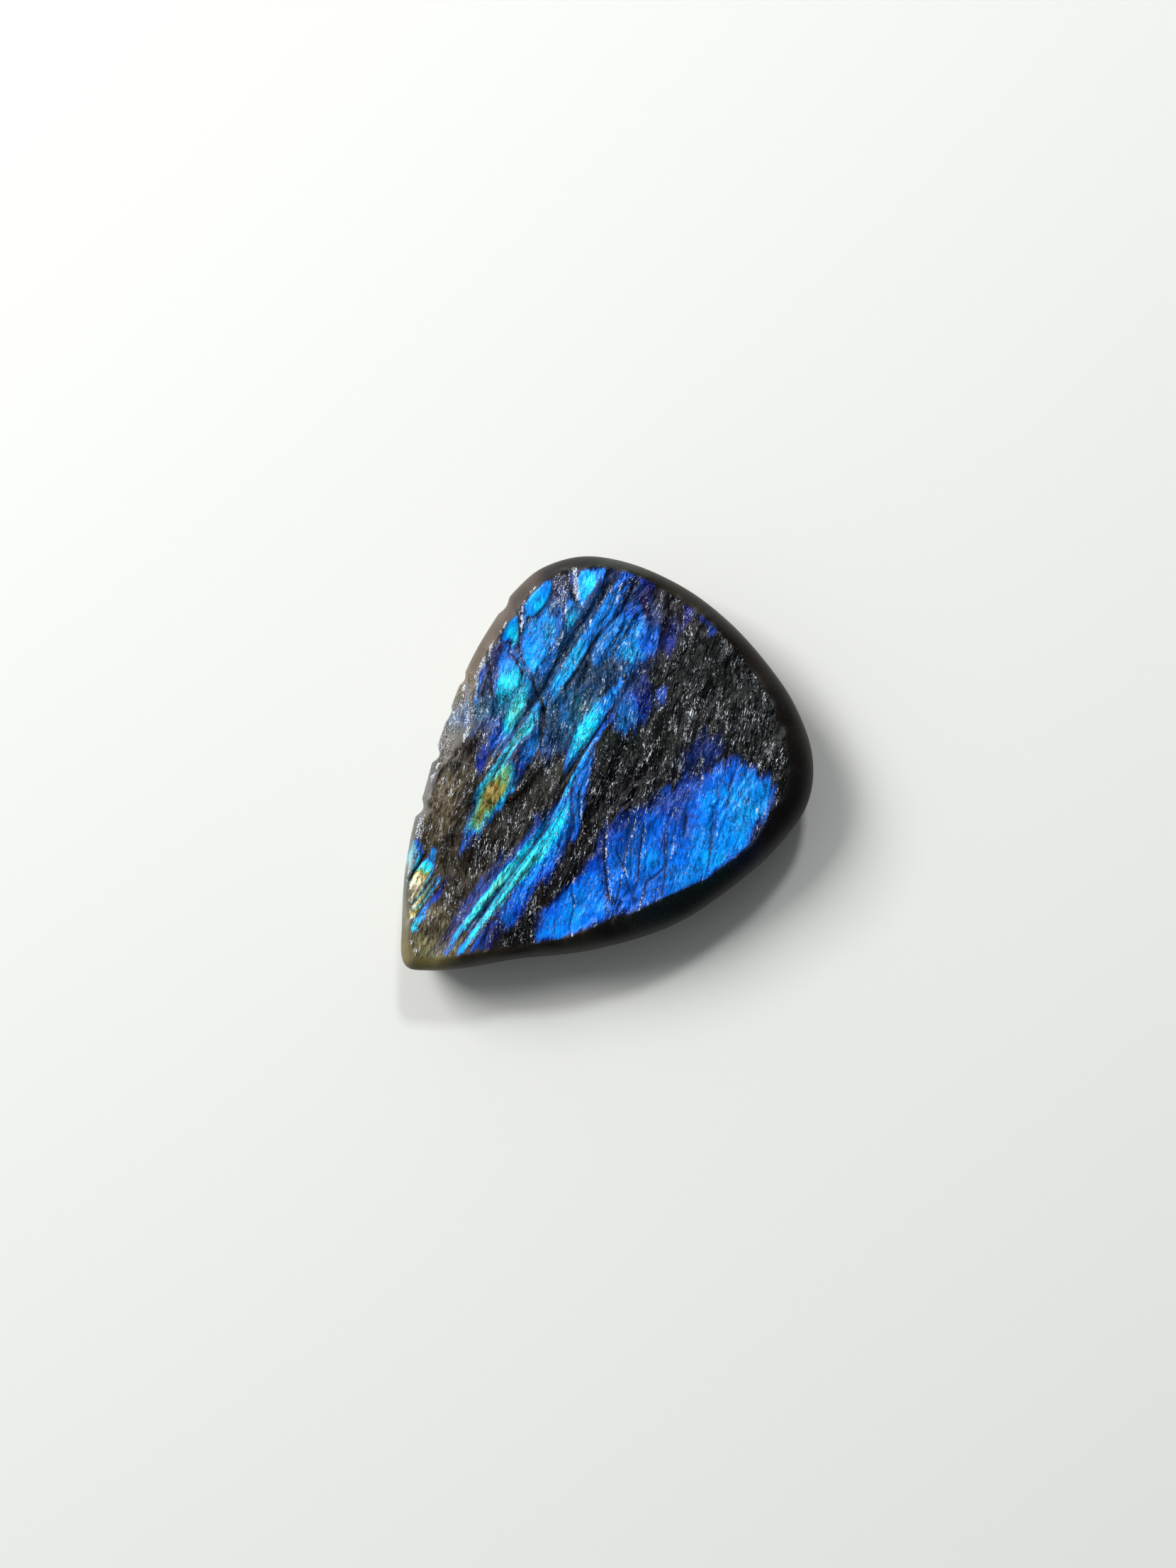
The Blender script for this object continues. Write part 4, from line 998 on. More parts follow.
def brokenness(points, heights):
    """1 on the broken stretch of the left rim, less on the rough stretch under it, 0 elsewhere."""
    y = points[:, 1]
    ragged = relief(y, heights, WIDE_RAGGED, SEED + 18) + relief(y, heights, FINE_RAGGED, SEED + 19)
    floor = np.interp(y, *zip(*BREAK_FLOOR))
    above = eased((heights - floor) / FLOOR_FADE + 0.5 + RAGGED_FLOOR * ragged)
    beyond = (to_line(points, BROKEN_RIM)[0] - BROKEN_REACH) / BROKEN_FADE
    broken = 1 - eased(beyond + RAGGED_SIDE * ragged)
    rough = 1 - eased((to_line(points, ROUGH_RIM)[0] - ROUGH_REACH) / ROUGH_FADE)
    return above * np.maximum(broken, ROUGH_SHARE * rough)


def ripples(points):
    """Small curved steps of a shell-like break."""
    across, along = turned(points, RIPPLE_TURN)
    wide, long = RIPPLE_SIZE
    bend = relief(across, along, RIPPLE_BEND, SEED + 14)
    wave = noise((across + bend) / wide, along / long, SEED + 15)
    return RIPPLE_HEIGHT * (1 - 2 * np.abs(wave)) + relief(across, along, RIPPLE_GRAIN, SEED + 16)


def wall_rows(loop, bite, normals):
    """Rings of points from the back's edge up to the girdle, where the nicks bite in most."""
    rows = []
    for k in range(WALL_STEPS):
        share = k / WALL_STEPS
        heights = np.full(len(loop), BACK_ROUND + (GIRDLE_HEIGHT - BACK_ROUND) * share)
        inset = BACK_INSET * (1 - share) ** INSET_CURVE
        x, y = loop.T / WALL_WAVE_SIZE
        wave = WALL_WAVE * noise(x, y + 3 * share, SEED + 5)
        flat = loop + bite * share**2 - normals * (inset + wave * (1 - share))[:, None]
        rough = np.abs(ripples(np.column_stack([flat[:, 1], heights])))
        worn = brokenness(flat, heights) * (BROKEN_INSET + BROKEN_WEAR * rough)
        rows.append(np.column_stack([flat - normals * worn[:, None], heights]))
    edge = rows[0][:, :2]
    back = []
    for k in range(BACK_STEPS):
        turn = math.pi / 2 * k / BACK_STEPS
        flat = edge - normals * BACK_ROUND * (1 - math.sin(turn))
        back.append(np.column_stack([flat, np.full(len(loop), BACK_ROUND * (1 - math.cos(turn)))]))
    return back + rows


def rim_rows(loop, normals, widths):
    """Rings of points from the girdle up the rounded rim to the edge of the split face."""
    shoulder = loop - normals * widths[:, None]
    top = face_height(shoulder, 0.0)
    even_top = sum(np.roll(top, k) for k in range(-EVEN_REACH, EVEN_REACH + 1)) / (2 * EVEN_REACH + 1)
    rows = []
    for k in range(RIM_STEPS + 1):
        share = k / RIM_STEPS
        turn = RIM_ARC * share
        inset = widths * (1 - math.cos(turn)) / (1 - math.cos(RIM_ARC))
        rise = math.sin(turn) / math.sin(RIM_ARC)
        flat = loop - normals * inset[:, None]
        z = GIRDLE_HEIGHT + (even_top + (top - even_top) * share**4 - GIRDLE_HEIGHT) * rise
        x, y = flat.T
        rough = brokenness(flat, z)
        broken = relief(x, y, BREAKS, SEED + 6) + ripples(flat)
        ground = relief(x, y, GROUND_WAVES, SEED + 8)
        held = min(1, 4 * share) * min(1, 4 * (1 - share))
        rows.append(np.column_stack([flat, z + held * (rough * broken + (1 - rough) * ground)]))
    return rows


def lattice(across_spacing, along_spacing, shift):
    """Points of a triangle pattern over the whole stone, laid along the splinters, each moved a little."""
    reach = LENGTH * LATTICE_REACH
    rows = int(reach / along_spacing)
    columns = int(reach / across_spacing)
    row, column = np.meshgrid(np.arange(-rows, rows + 1), np.arange(-columns, columns + 1), indexing="ij")
    row, column = row.ravel(), column.ravel()
    points = laid((column + 0.5 * (row % 2)) * across_spacing, row * along_spacing)
    return points + np.random.default_rng(SEED).uniform(-shift, shift, points.shape) * across_spacing


def filled(ring, free, clearance):
    """Points and triangles of the surface inside a ring, whose points come first."""
    box = (free >= ring.min(axis=0)).all(axis=1) & (free <= ring.max(axis=0)).all(axis=1)
    free = free[box]
    free = free[inside(free, ring) > clearance]
    points = np.vstack([ring, free])
    count = len(ring)
    edges = [(i, (i + 1) % count) for i in range(count)]
    found = delaunay_2d_cdt([Vector(p) for p in points], edges, [list(range(count))], 1, MERGE_DISTANCE)
    return np.array([tuple(p) for p in found[0]]), [tuple(t) for t in found[2]]


def ring_faces(lower, upper, count):
    """Quads between two rings of the same length, facing out."""
    return [(lower + i, lower + (i + 1) % count, upper + (i + 1) % count, upper + i) for i in range(count)]


def stone_shape():
    """Points in millimetres, faces, the part each point is on, and how far each is from the face's border."""
    loop = fitted_outline()
    normals = outward(loop)
    bite = nicks(loop, normals)
    side = wall_rows(loop, bite, normals)
    rim = rim_rows(loop + bite, normals, rim_widths(loop))
    rings = side + rim
    count = len(loop)
    shoulder = rim[-1][:, :2]
    lattice_points = lattice(ACROSS_SPACING, ALONG_SPACING, SPACING_SHIFT)
    face_flat, face_triangles = filled(shoulder, lattice_points, EDGE_CLEARANCE)
    back_points = lattice(BACK_SPACING, BACK_SPACING, BACK_SHIFT)
    back_flat, back_triangles = filled(side[0][:, :2], back_points, BACK_SPACING / 3)
    open_face = eased(inside(face_flat, shoulder[::RING_SHARE]) / RIM_BLEND)
    face = np.column_stack([face_flat, face_height(face_flat, open_face)])
    back = np.column_stack([back_flat, np.zeros(len(back_flat))])[count:]
    points = np.vstack(rings[:-1] + [face, back])
    faces = []
    for k in range(len(rings) - 1):
        faces += ring_faces(k * count, (k + 1) * count, count)
    base = (len(rings) - 1) * count
    faces += [tuple(base + i for i in triangle) for triangle in face_triangles]
    far = base + len(face)
    faces += [tuple(i if i < count else far + i - count for i in reversed(t)) for t in back_triangles]
    counts = [len(side) * count, (len(rim) - 1) * count, len(face), len(back)]
    parts = np.repeat([SIDE, RIM, FACE, BACK], counts)
    open_share = np.zeros(len(points))
    open_share[parts == FACE] = open_face
    return np.clip(points, STONE_LOW, STONE_HIGH), faces, parts, open_share


def linear(colour):
    """Linear values of an sRGB colour given from 0 to 255."""
    value = np.array(colour, float) / 255
    return np.where(value <= 0.04045, value / 12.92, ((value + 0.055) / 1.055) ** 2.4)


def solid(colour):
    """Linear values of an sRGB colour, with full opacity."""
    return (*linear(colour), 1)


def anchored(points, anchors, soft=TINT_SOFTNESS):
    """Values between the anchors, each weighted by how near it is."""
    anchors = np.array(anchors, float)
    weight = np.stack([1 / (np.hypot(*(points - anchor[:2]).T) + soft) ** 3 for anchor in anchors])
    weight /= weight.sum(axis=0)
    return weight.T @ anchors[:, 2:]


def along_stops(points, stops, soft):
    """How much each point is in a band of changing width, and the band's values there."""
    stops = np.array(stops, float)
    distance, _, piece, share = to_segments(points, stops[:, :2])
    values = stops[piece] * (1 - share[:, None]) + stops[piece + 1] * share[:, None]
    return eased((1 - distance / values[:, 2]) / soft + 0.5), values[:, 3:]


def frayed(points, calm, ribbed):
    """The points moved along and across the grain, by noise in fine fibres, so that edges look splintered."""
    across, along = turned(points, SPLINTER_TURN)
    loose = (1 - FRAY_CALMED * calm) * (1 - FRAY_RIBBED * ribbed)
    fibres = relief(across, along, FRAY_FINE, SEED + 90) + relief(across, along, FRAY_WIDE, SEED + 91)
    bend = relief(across, along, FRAY_ACROSS, SEED + 92)
    return points + laid((FRAY_LEAST + (1 - FRAY_LEAST) * loose) * bend, loose * fibres)


def flash(points, moved):
    """Tone and strength of the flash at each point of the split face; edges are taken at the moved points."""
    values = np.column_stack([np.full(len(points), PLAIN_TONE), np.zeros(len(points))])
    for outline, soft, anchors in SHEETS.values():
        amount = covered(moved, outline, soft)[:, None]
        values += amount * (anchored(points, anchors) - values)
    for soft, stops in STREAKS.values():
        amount, wanted = along_stops(moved, stops, soft)
        values += amount[:, None] * (wanted - values)
    return values.T


def crack_shade(points):
    """1 in the bottom of cracks and grooves, where light and flash don't reach."""
    shade = np.zeros(len(points))

    def darken(line, darkness, right_reach, left_reach):
        distance, right, share = to_line(points, line)
        near = 1 - eased(distance / np.where(right, right_reach, left_reach))
        return np.maximum(shade, darkness * near * tapered(share))

    for line, drop, _ in SCARPS.values():
        shade = darken(line, min(1, STEP_DARKNESS * drop), STEP_SHADE, LIP_SHADE)
    for line, half_width, depth in GROOVES.values():
        reach = GROOVE_SHADE * half_width
        shade = darken(line, min(GROOVE_DARKEST, GROOVE_DARKNESS * depth), reach, reach)
    for line, half_width, darkness in CRACKS.values():
        shade = darken(line, darkness, CRACK_SHADE * half_width, CRACK_SHADE * half_width)
    return shade


def lip_light(points):
    """1 on the broken upper edges of the steps, which are pale."""
    light = np.zeros(len(points))
    density, place, lift = LIP_GAPS
    for line, drop, _ in SCARPS.values():
        distance, right, share = to_line(points, line)
        gaps = eased(noise(share * density, np.full(len(points), drop * place), SEED + 9) + lift)
        near = np.where(right, 0, 1 - eased(distance / LIP_LIGHT_REACH))
        light = np.maximum(light, near * tapered(share) * gaps)
    return light


def frost(points, moved):
    """How pale and broken each point is: fine lines break up into beads, and wide ones have frayed edges."""
    pale = LIP_PALENESS * lip_light(points)
    size, contrast, lift = BEAD_NOISE
    beads = eased(contrast * noise(points[:, 0] / size, points[:, 1] / size, SEED + 17) + lift)
    for soft, stops in FROSTS.values():
        fine = max(stop[2] for stop in stops) < FINE_LINE
        widths = (1, 1, BEAD_SHARE if fine else 1, 1)
        amount, values = along_stops(points if fine else moved, np.array(stops) * widths, soft)
        pale = np.maximum(pale, amount * (beads if fine else 1) * values[:, 0])
    return pale


def tints(points, places, soft=TINT_SOFTNESS):
    """Body colour at each point, as linear values."""
    anchors = [(x, y, *linear(colour)) for (x, y), colour in places]
    return BODY_SHARE * anchored(points, anchors, soft)


def closed_share(points, open_share):
    """1 where the rim is ground and 0 on the open split face, with a ragged border between them."""
    wide, long, share = RAGGED_BORDER
    ragged = share * noise(points[:, 0] / wide, points[:, 1] / long, SEED + 11)
    border = BORDER_RAGGEDNESS * ragged * open_share * (1 - open_share)
    return 1 - eased(BORDER_STEEPNESS * open_share - BORDER_SHIFT + border)


def surface_values(points, parts, closed):
    """What the material reads at each point of the mesh, besides the body colour."""
    flat = points[:, :2]
    face, rim, edge = parts == FACE, parts == RIM, (parts == RIM) | (parts == SIDE)
    upper = face | rim
    rough = brokenness(flat, points[:, 2])
    calm = calmness(flat)
    ribbed = ribbing(flat[upper])
    moved = frayed(flat[upper], calm[upper], ribbed)
    names = ("tone", "flash", "frost", "calm", "ground", "shade", "ribbed")
    values = {name: np.zeros(len(points)) for name in names}
    values["tone"][upper], values["flash"][upper] = flash(flat[upper], moved)
    values["frost"][upper] = frost(flat[upper], moved)
    values["shade"][upper] = crack_shade(flat[upper])
    values["ribbed"][upper] = ribbed
    values["calm"] = np.where(face, calm, EDGE_CALM * edge)
    values["ground"] = np.where(face, closed * (1 - rough), np.where(edge, 1 - rough, 1))
    for name in ("frost", "shade"):
        values[name][rim] *= rough[rim]
    values["frost"][edge] = np.maximum(values["frost"][edge], BROKEN_PALENESS * rough[edge])
    return values


def body_colours(points, parts, closed):
    """Body colour at each point of the mesh, as linear values."""
    flat = points[:, :2]
    face, side = parts == FACE, parts == SIDE
    colour = np.tile(linear(BACK_TINT), (len(points), 1))
    border = closed[face, None]
    colour[face] = tints(flat[face], FACE_TINTS) * (1 - border) + tints(flat[face], RIM_TINTS) * border
    edge = side | (parts == RIM)
    colour[edge] = tints(flat[edge], RIM_TINTS)
    under = eased((GIRDLE_HEIGHT - points[side, 2]) / TINT_FADE)[:, None]
    colour[side] += under * (tints(flat[side], RIM_TINTS, SIDE_SOFTNESS) - colour[side])
    low = side & (points[:, 2] < BACK_TINT_HEIGHT)
    colour[low] = 0.5 * colour[low] + 0.5 * linear(BACK_TINT)
    return colour


def grain_coordinates(points, parts):
    """Across, along and up in millimetres, bent a little, for the fine grain of the material."""
    across, along = turned(points, SPLINTER_TURN)
    bend = relief(across, along, SPLINTER_BEND, SEED + 50) + relief(across, along, SMALL_BEND, SEED + 51)
    upper = (parts == FACE) | (parts == RIM)
    return np.column_stack([across + bend * upper, along, points[:, 2]])


def rib_coordinates(points):
    """Across the ribs, along them and up in millimetres."""
    across, along = across_ribs(points), -points[:, 1]
    return np.column_stack([across + relief(across, along, RIB_BEND, SEED + 52), along, points[:, 2]])


def picture_map(points, faces, parts):
    """Places on the texture: the face fills most of it, with the back and the side in the strip beside it."""
    share, margin = FACE_MAP
    front = margin + (points[:, :2] - STONE_LOW[:2]) * (share / LENGTH)
    small, *corner = BACK_MAP
    behind = (points[:, :2] - STONE_LOW[:2]) * (share / LENGTH) * small + np.array(corner)
    left, across, low, tall = SIDE_MAP
    angle = np.arctan2(points[:, 1] - MIDDLE[1], points[:, 0] - MIDDLE[0]) / (2 * math.pi) + 0.5
    beside = np.column_stack([left + across * points[:, 2] / THICKNESS, low + tall * angle])
    rows = []
    for face in faces:
        kinds = [parts[i] for i in face]
        if BACK in kinds or max(points[i][2] for i in face) < MERGE_DISTANCE:
            rows += [behind[i] for i in face]
        elif SIDE in kinds:
            strip = [beside[i] for i in face]
            wraps = max(p[1] for p in strip) - min(p[1] for p in strip) > WRAP_SPAN
            rows += [p - np.array([0, tall]) if wraps and p[1] > WRAP_FROM else p for p in strip]
        else:
            rows += [front[i] for i in face]
    return np.clip(np.array(rows), 0, 1)


def keep_layer(mesh, name, kind, key, values):
    """Stores values at the mesh's points under a name that the material reads."""
    layer = mesh.attributes.new(name, kind, "POINT")
    layer.data.foreach_set(key, values.astype(np.float32).ravel())


def stone_piece():
    """The stone as one fine mesh that carries what its material reads."""
    points, faces, parts, open_share = stone_shape()
    closed = closed_share(points, open_share)
    mesh = bpy.data.meshes.new("labradorite")
    mesh.from_pydata([tuple(p) for p in points * MM], [], faces)
    for name, values in surface_values(points, parts, closed).items():
        keep_layer(mesh, name, "FLOAT", "value", values)
    colours = np.column_stack([body_colours(points, parts, closed), np.ones(len(points))])
    keep_layer(mesh, "body_colour", "FLOAT_COLOR", "color", colours)
    keep_layer(mesh, "grain", "FLOAT_VECTOR", "vector", grain_coordinates(points, parts))
    keep_layer(mesh, "ribs", "FLOAT_VECTOR", "vector", rib_coordinates(points))
    places = mesh.uv_layers.new(name="OFBake")
    places.data.foreach_set("uv", picture_map(points, faces, parts).astype(np.float32).ravel())
    mesh.shade_smooth()
    mesh.update()
    return placed("labradorite", mesh)


def placed(name, data, place=(0, 0, 0), turn=(0, 0, 0)):
    """A new object in the scene at a place in millimetres."""
    item = bpy.data.objects.new(name, data)
    item.location = Vector(place) * MM
    item.rotation_euler = turn
    bpy.context.scene.collection.objects.link(item)
    return item


class Value:
    """An output of a node that adds, subtracts and multiplies like a number."""

    def __init__(self, graph, socket):
        self.graph = graph
        self.socket = socket

    def other(self, key):
        """Another output of the same node."""
        return Value(self.graph, self.socket.node.outputs[key])

    def __add__(self, other):
        return self.graph.math("ADD", self, other)

    def __sub__(self, other):
        return self.graph.math("SUBTRACT", self, other)

    def __rsub__(self, other):
        return self.graph.math("SUBTRACT", other, self)

    def __mul__(self, other):
        return self.graph.math("MULTIPLY", self, other)

    def __rmul__(self, other):
        return self.graph.math("MULTIPLY", self, other)


class Graph:
    """A node tree, with short calls for the nodes used here."""

    def __init__(self, tree):
        self.tree = tree
        self.tree.nodes.clear()

    def add(self, kind, inputs=(), output=0, **settings):
        node = self.tree.nodes.new(kind)
        for key, value in settings.items():
            setattr(node, key, value)
        for key, value in dict(inputs).items():
            if isinstance(value, Value):
                self.tree.links.new(value.socket, node.inputs[key])
            else:
                node.inputs[key].default_value = value
        return Value(self, node.outputs[output]) if node.outputs else node

    def math(self, operation, *values, clamp=False):
        return self.add("ShaderNodeMath", enumerate(values), operation=operation, use_clamp=clamp)

    def vector(self, operation, *values):
        output = "Value" if operation == "DOT_PRODUCT" else "Vector"
        return self.add("ShaderNodeVectorMath", enumerate(values), output, operation=operation)

    def remap(self, value, low, high, to_low=0.0, to_high=1.0):
        names = ("Value", "From Min", "From Max", "To Min", "To Max")
        inputs = zip(names, (value, low, high, to_low, to_high))
        return self.add("ShaderNodeMapRange", inputs, interpolation_type="SMOOTHSTEP")

    def curve(self, value, name):
        return self.remap(value, *CURVES[name])

    def blend(self, factor, first, second):
        return self.add("ShaderNodeMix", {0: factor, 2: first, 3: second})

    def mix(self, factor, first, second):
        return self.add("ShaderNodeMix", {0: factor, 6: first, 7: second}, 2, data_type="RGBA")

    def read(self, name, output="Fac"):
        return self.add("ShaderNodeAttribute", output=output, attribute_name=name)

    def scaled(self, vector, across, along):
        return self.vector("MULTIPLY", vector, (1 / across, 1 / along, 1 / across))

    def noise(self, vector, across, along, detail, roughness):
        at = self.scaled(vector, across, along)
        inputs = {"Vector": at, "Scale": 1.0, "Detail": detail, "Roughness": roughness}
        return self.add("ShaderNodeTexNoise", inputs, "Fac")


def cell_splinters(graph, grain):
    """A random value for each of the fine splinters, and their tilted height."""
    at = graph.scaled(grain, *FINE_SPLINTER)
    colour = graph.add("ShaderNodeTexVoronoi", {"Vector": at, "Scale": 1.0}, "Color", voronoi_dimensions="2D")
    offset = graph.vector("SUBTRACT", at, colour.other("Position"))
    tilt = graph.vector("SUBTRACT", colour, (0.5, 0.5, 0.5))
    tilted = graph.vector("DOT_PRODUCT", graph.vector("MULTIPLY", offset, (CELL_TILT, CELL_TILT, 0)), tilt)
    first = graph.add("ShaderNodeSeparateColor", {"Color": colour})
    return first, tilted + (first.other(2) - 0.5) * CELL_LIFT


def crackle_lines(graph, grain):
    """1 on a net of fine cracks."""
    scale, detail = CRACKLE_WARP
    warp = graph.add("ShaderNodeTexNoise", {"Vector": grain, "Scale": scale, "Detail": detail}, "Color")
    at = graph.vector("ADD", graph.scaled(grain, *CRACKLE), graph.vector("SUBTRACT", warp, (0.5, 0.5, 0.5)))
    inputs = {"Vector": at, "Scale": 1.0}
    kind = {"voronoi_dimensions": "2D", "feature": "DISTANCE_TO_EDGE"}
    return graph.curve(graph.add("ShaderNodeTexVoronoi", inputs, "Distance", **kind), "crackle")


def hairlines(graph, at, size):
    """Thin broken lines along the grain: their dark lines, pale edges, and a step in height across each."""
    value = graph.noise(at, *size)
    dark = graph.curve(graph.math("ABSOLUTE", value - HAIR_MIDDLE), "hair dark")
    pale = graph.curve(graph.math("ABSOLUTE", value - HAIR_EDGE), "hair pale")
    return dark, pale, graph.curve(value, "hair step")


def tone_ramp(graph, tone):
    """The colour of a tone."""
    value = graph.add("ShaderNodeValToRGB", {"Fac": tone}, "Color")
    ramp = value.socket.node.color_ramp
    while len(ramp.elements) > 1:
        ramp.elements.remove(ramp.elements[-1])
    for k, (place, colour) in enumerate(TONES):
        element = ramp.elements[0] if k == 0 else ramp.elements.new(place)
        element.position = place
        element.color = solid(colour)
    return value


def read_surface(graph):
    """What the mesh says at each place of its surface."""
    at = SimpleNamespace(**{
        name: graph.read(name) for name in ("tone", "flash", "frost", "calm", "ground", "shade", "ribbed")
    })
    at.grain, at.ribs = graph.read("grain", "Vector"), graph.read("ribs", "Vector")
    at.body = graph.read("body_colour", "Color")
    at.split = 1.0 - at.ground
    at.lit = 1.0 - at.shade
    at.rough = at.split * (1.0 - at.calm * CALM_SHARE)
    return at


def fine_grain(graph, at):
    """The noises, splinters and hairlines that the material is made of."""
    fine = SimpleNamespace()
    fine.fibre = graph.blend(at.ribbed, graph.noise(at.grain, *FIBRE), graph.noise(at.ribs, *RIB_FIBRE))
    fine.streak = graph.blend(at.ribbed, graph.noise(at.grain, *STREAK), graph.noise(at.ribs, *RIB_STREAK))
    fine.rib_line = graph.noise(at.ribs, *RIB_LINE)
    fine.speck, fine.patch, fine.band, fine.clump = (
        graph.noise(at.grain, *size) for size in (SPECK, PATCH, BAND, CLUMP)
    )
    fine.cell, fine.height = cell_splinters(graph, at.grain)
    fine.crackle = crackle_lines(graph, at.grain)
    hair, edge, fine.step = hairlines(graph, at.grain, HAIR)
    cross, cross_edge, fine.cross_step = hairlines(graph, at.grain, CROSS_HAIR)
    patches = graph.curve(fine.patch, "cross hair patch")
    share = graph.curve(fine.speck, "hair break") * graph.blend(at.calm, HAIR_SHARE, CALM_HAIR_SHARE)
    fine.hair = graph.math("MAXIMUM", hair, cross * patches) * share
    edge_share = graph.curve(fine.speck, "hair edge break")
    fine.hair_edge = graph.math("MAXIMUM", edge, cross_edge * patches) * edge_share
    return fine


def flash_amount(graph, at, fine):
    """How much flash shows, less in the gaps between splinters and ribs and in fine cracks."""
    gap = graph.curve(fine.fibre, "fibre gap") * graph.curve(fine.cell, "splinter gap")
    gap = at.rough * (gap - 1.0) + 1.0
    gap = gap * graph.curve(fine.speck, "speck gap") * (1.0 - fine.crackle * CRACKLE_SHARE)
    gap = gap * (1.0 - at.ribbed * graph.curve(fine.rib_line, "rib gap")) * (1.0 - fine.hair)
    return graph.math("MULTIPLY", at.flash * gap, at.lit * at.split, clamp=True)


def flash_colour(graph, at, fine):
    """The flash's colour, whose tone varies a little along the grain."""
    return tone_ramp(graph, at.tone + (fine.band - 0.5) * BAND_TONE + (fine.fibre - 0.5) * FIBRE_TONE)


def body_colour(graph, at, fine):
    """The dark stone under the flash, mottled by its grain and darker in cracks."""
    split = graph.curve(fine.fibre, "fibre light") * graph.curve(fine.band, "band light")
    ground = graph.curve(fine.patch, "rim patch") * graph.curve(fine.speck, "rim speck")
    light = graph.blend(at.split, ground, split) * (1.0 - at.shade * SHADE_DARKNESS)
    light = light * (1.0 - fine.hair * at.split * HAIR_DARKNESS)
    return graph.add("ShaderNodeVectorMath", {0: at.body, "Scale": light}, operation="SCALE")


def glints(graph, at, fine):
    """1 on the splinters that catch the light, in clumps."""
    gathered = (fine.clump - 0.5) * CLUMP_SHARE + (fine.patch - 0.5) * PATCH_SHARE
    glint = graph.curve(fine.streak + gathered, "glint") * graph.curve(fine.speck, "glint break")
    hair_glint = fine.hair_edge * graph.curve(fine.clump, "hair glint")
    return graph.math("MAXIMUM", glint, hair_glint) * (at.rough * at.lit)


def pale_places(graph, at, fine):
    """1 where the stone is broken and pale."""
    inputs = {
        "Value": graph.curve(fine.speck, "pale speck"),
        "From Min": PALE_FROM - at.frost,
        "From Max": PALE_TO - at.frost,
    }
    pale = graph.add("ShaderNodeMapRange", inputs, interpolation_type="SMOOTHSTEP")
    return pale * graph.curve(fine.fibre, "pale fibre")


def surface_bump(graph, at, fine):
    """Fine splinters, streaks and steps on the split face, and specks all over."""
    steps = fine.step + fine.cross_step * CROSS_STEP - MEAN_STEP
    height = (fine.height + (fine.streak - 0.5) * STREAK_BUMP + steps * STEP_BUMP) * at.rough
    inputs = {"Height": height + fine.speck * SPECK_BUMP, "Strength": 1.0, "Distance": SPLINTER_BUMP * MM}
    return graph.add("ShaderNodeBump", inputs)


def stone_material():
    """Dark stone with flash, splintered grain, a satin ground rim and pale broken places."""
    material, graph = new_material("labradorite")
    at = read_surface(graph)
    fine = fine_grain(graph, at)
    amount, glint, pale = (part(graph, at, fine) for part in (flash_amount, glints, pale_places))
    body = graph.mix(glint * BODY_GLINTS, body_colour(graph, at, fine), solid(GLINT_COLOUR))
    flashing = graph.mix(glint * FLASH_GLINTS, flash_colour(graph, at, fine), solid(FLASH_GLINT))
    roughness = graph.curve(fine.speck, "roughness") + pale * PALE_ROUGHNESS
    finish(graph, {
        "Base Color": graph.mix(pale, graph.mix(amount, body, flashing), solid(PALE)),
        "Roughness": graph.blend(at.ground, roughness, graph.curve(fine.speck, "rim roughness")),
        "Metallic": amount * FLASH_METAL,
        "IOR": STONE_IOR,
        "Specular IOR Level": STONE_SPECULAR,
        "Normal": surface_bump(graph, at, fine),
    })
    return material


def new_material(name):
    material = bpy.data.materials.new(name)
    material.use_nodes = True
    return material, Graph(material.node_tree)


def finish(graph, inputs):
    """Ends a material's graph with its shader."""
    graph.add("ShaderNodeOutputMaterial", {"Surface": graph.add("ShaderNodeBsdfPrincipled", inputs)})


def floor_material():
    material, graph = new_material("pale floor")
    finish(graph, {"Base Color": FLOOR_COLOUR, "Roughness": FLOOR_ROUGHNESS})
    return material


def add_floor():
    """A plain pale floor just under the stone."""
    half = FLOOR_SIZE / 2 * MM
    mesh = bpy.data.meshes.new("floor")
    corners = [(-half, -half, 0), (half, -half, 0), (half, half, 0), (-half, half, 0)]
    mesh.from_pydata(corners, [], [(0, 1, 2, 3)])
    mesh.materials.append(floor_material())
    floor = placed("floor", mesh, (0, 0, -FLOOR_GAP))


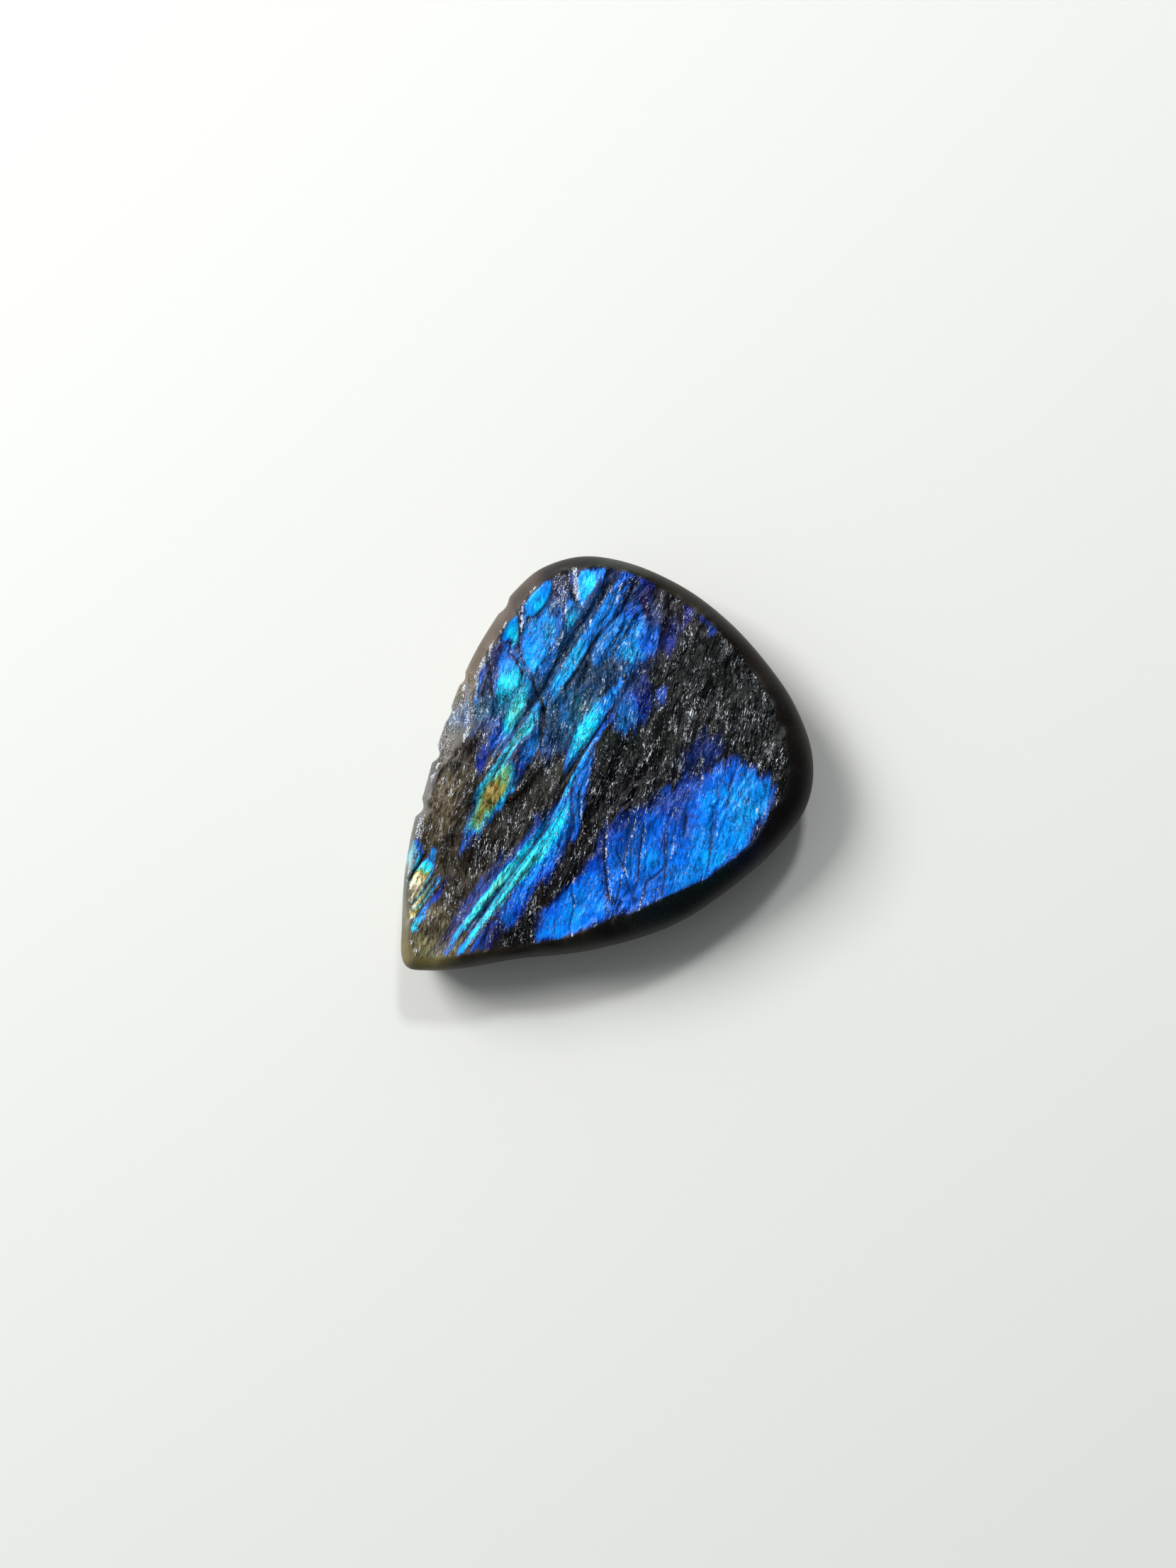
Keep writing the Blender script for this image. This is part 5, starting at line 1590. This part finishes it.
def add_light(name, place, size, power, colour):
    """A square soft light at a place in millimetres, turned to the stone."""
    light = bpy.data.lights.new(name, "AREA")
    light.size = size * MM
    light.energy = power
    light.color = colour
    placed(name, light, place, (-Vector(place)).to_track_quat("-Z", "Y").to_euler())


def add_studio():
    """Plain pale soft light, brighter from the left, with a dim ceiling over the stone."""
    world = bpy.data.worlds.new("studio")
    world.use_nodes = True
    graph = Graph(world.node_tree)
    place = graph.add("ShaderNodeTexCoord", output="Generated")
    side = graph.vector("DOT_PRODUCT", place, BRIGHT_SIDE)
    strength = graph.remap(side, -SIDE_SPAN, SIDE_SPAN, DIM_WORLD, BRIGHT_WORLD)
    background = graph.add("ShaderNodeBackground", {"Color": WORLD_COLOUR, "Strength": strength})
    graph.add("ShaderNodeOutputWorld", {"Surface": background})
    bpy.context.scene.world = world
    add_light("window", *WINDOW)
    add_light("sparkle", *SPARKLE)


def add_camera():
    """Looks straight down, rolled so that the drop's point is at the lower left as in the photograph."""
    camera = bpy.data.cameras.new("camera")
    camera.sensor_fit = "VERTICAL"
    camera.sensor_height = SENSOR_HEIGHT
    camera.lens = SENSOR_HEIGHT * CAMERA_DISTANCE * PIXELS_PER_MM / PICTURE_SIZE[1]
    camera.clip_start, camera.clip_end = NEAREST, FARTHEST
    right = np.array([math.cos(CAMERA_ROLL), math.sin(CAMERA_ROLL)])
    up = np.array([-math.sin(CAMERA_ROLL), math.cos(CAMERA_ROLL)])
    aside = (PICTURE_SIZE[0] / 2 - STONE_AT_PIXEL[0]) / PIXELS_PER_MM
    above = (STONE_AT_PIXEL[1] - PICTURE_SIZE[1] / 2) / PIXELS_PER_MM
    x, y = aside * right + above * up
    place = (x, y, OUTLINE_PLANE + CAMERA_DISTANCE)
    bpy.context.scene.camera = placed("camera", camera, place, (0, 0, CAMERA_ROLL))


stone = stone_piece()
stone.data.materials.append(stone_material())
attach(stone, "root")
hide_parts(NODE)
add_floor()
add_studio()
add_camera()
bpy.context.scene.view_settings.view_transform = "Standard"
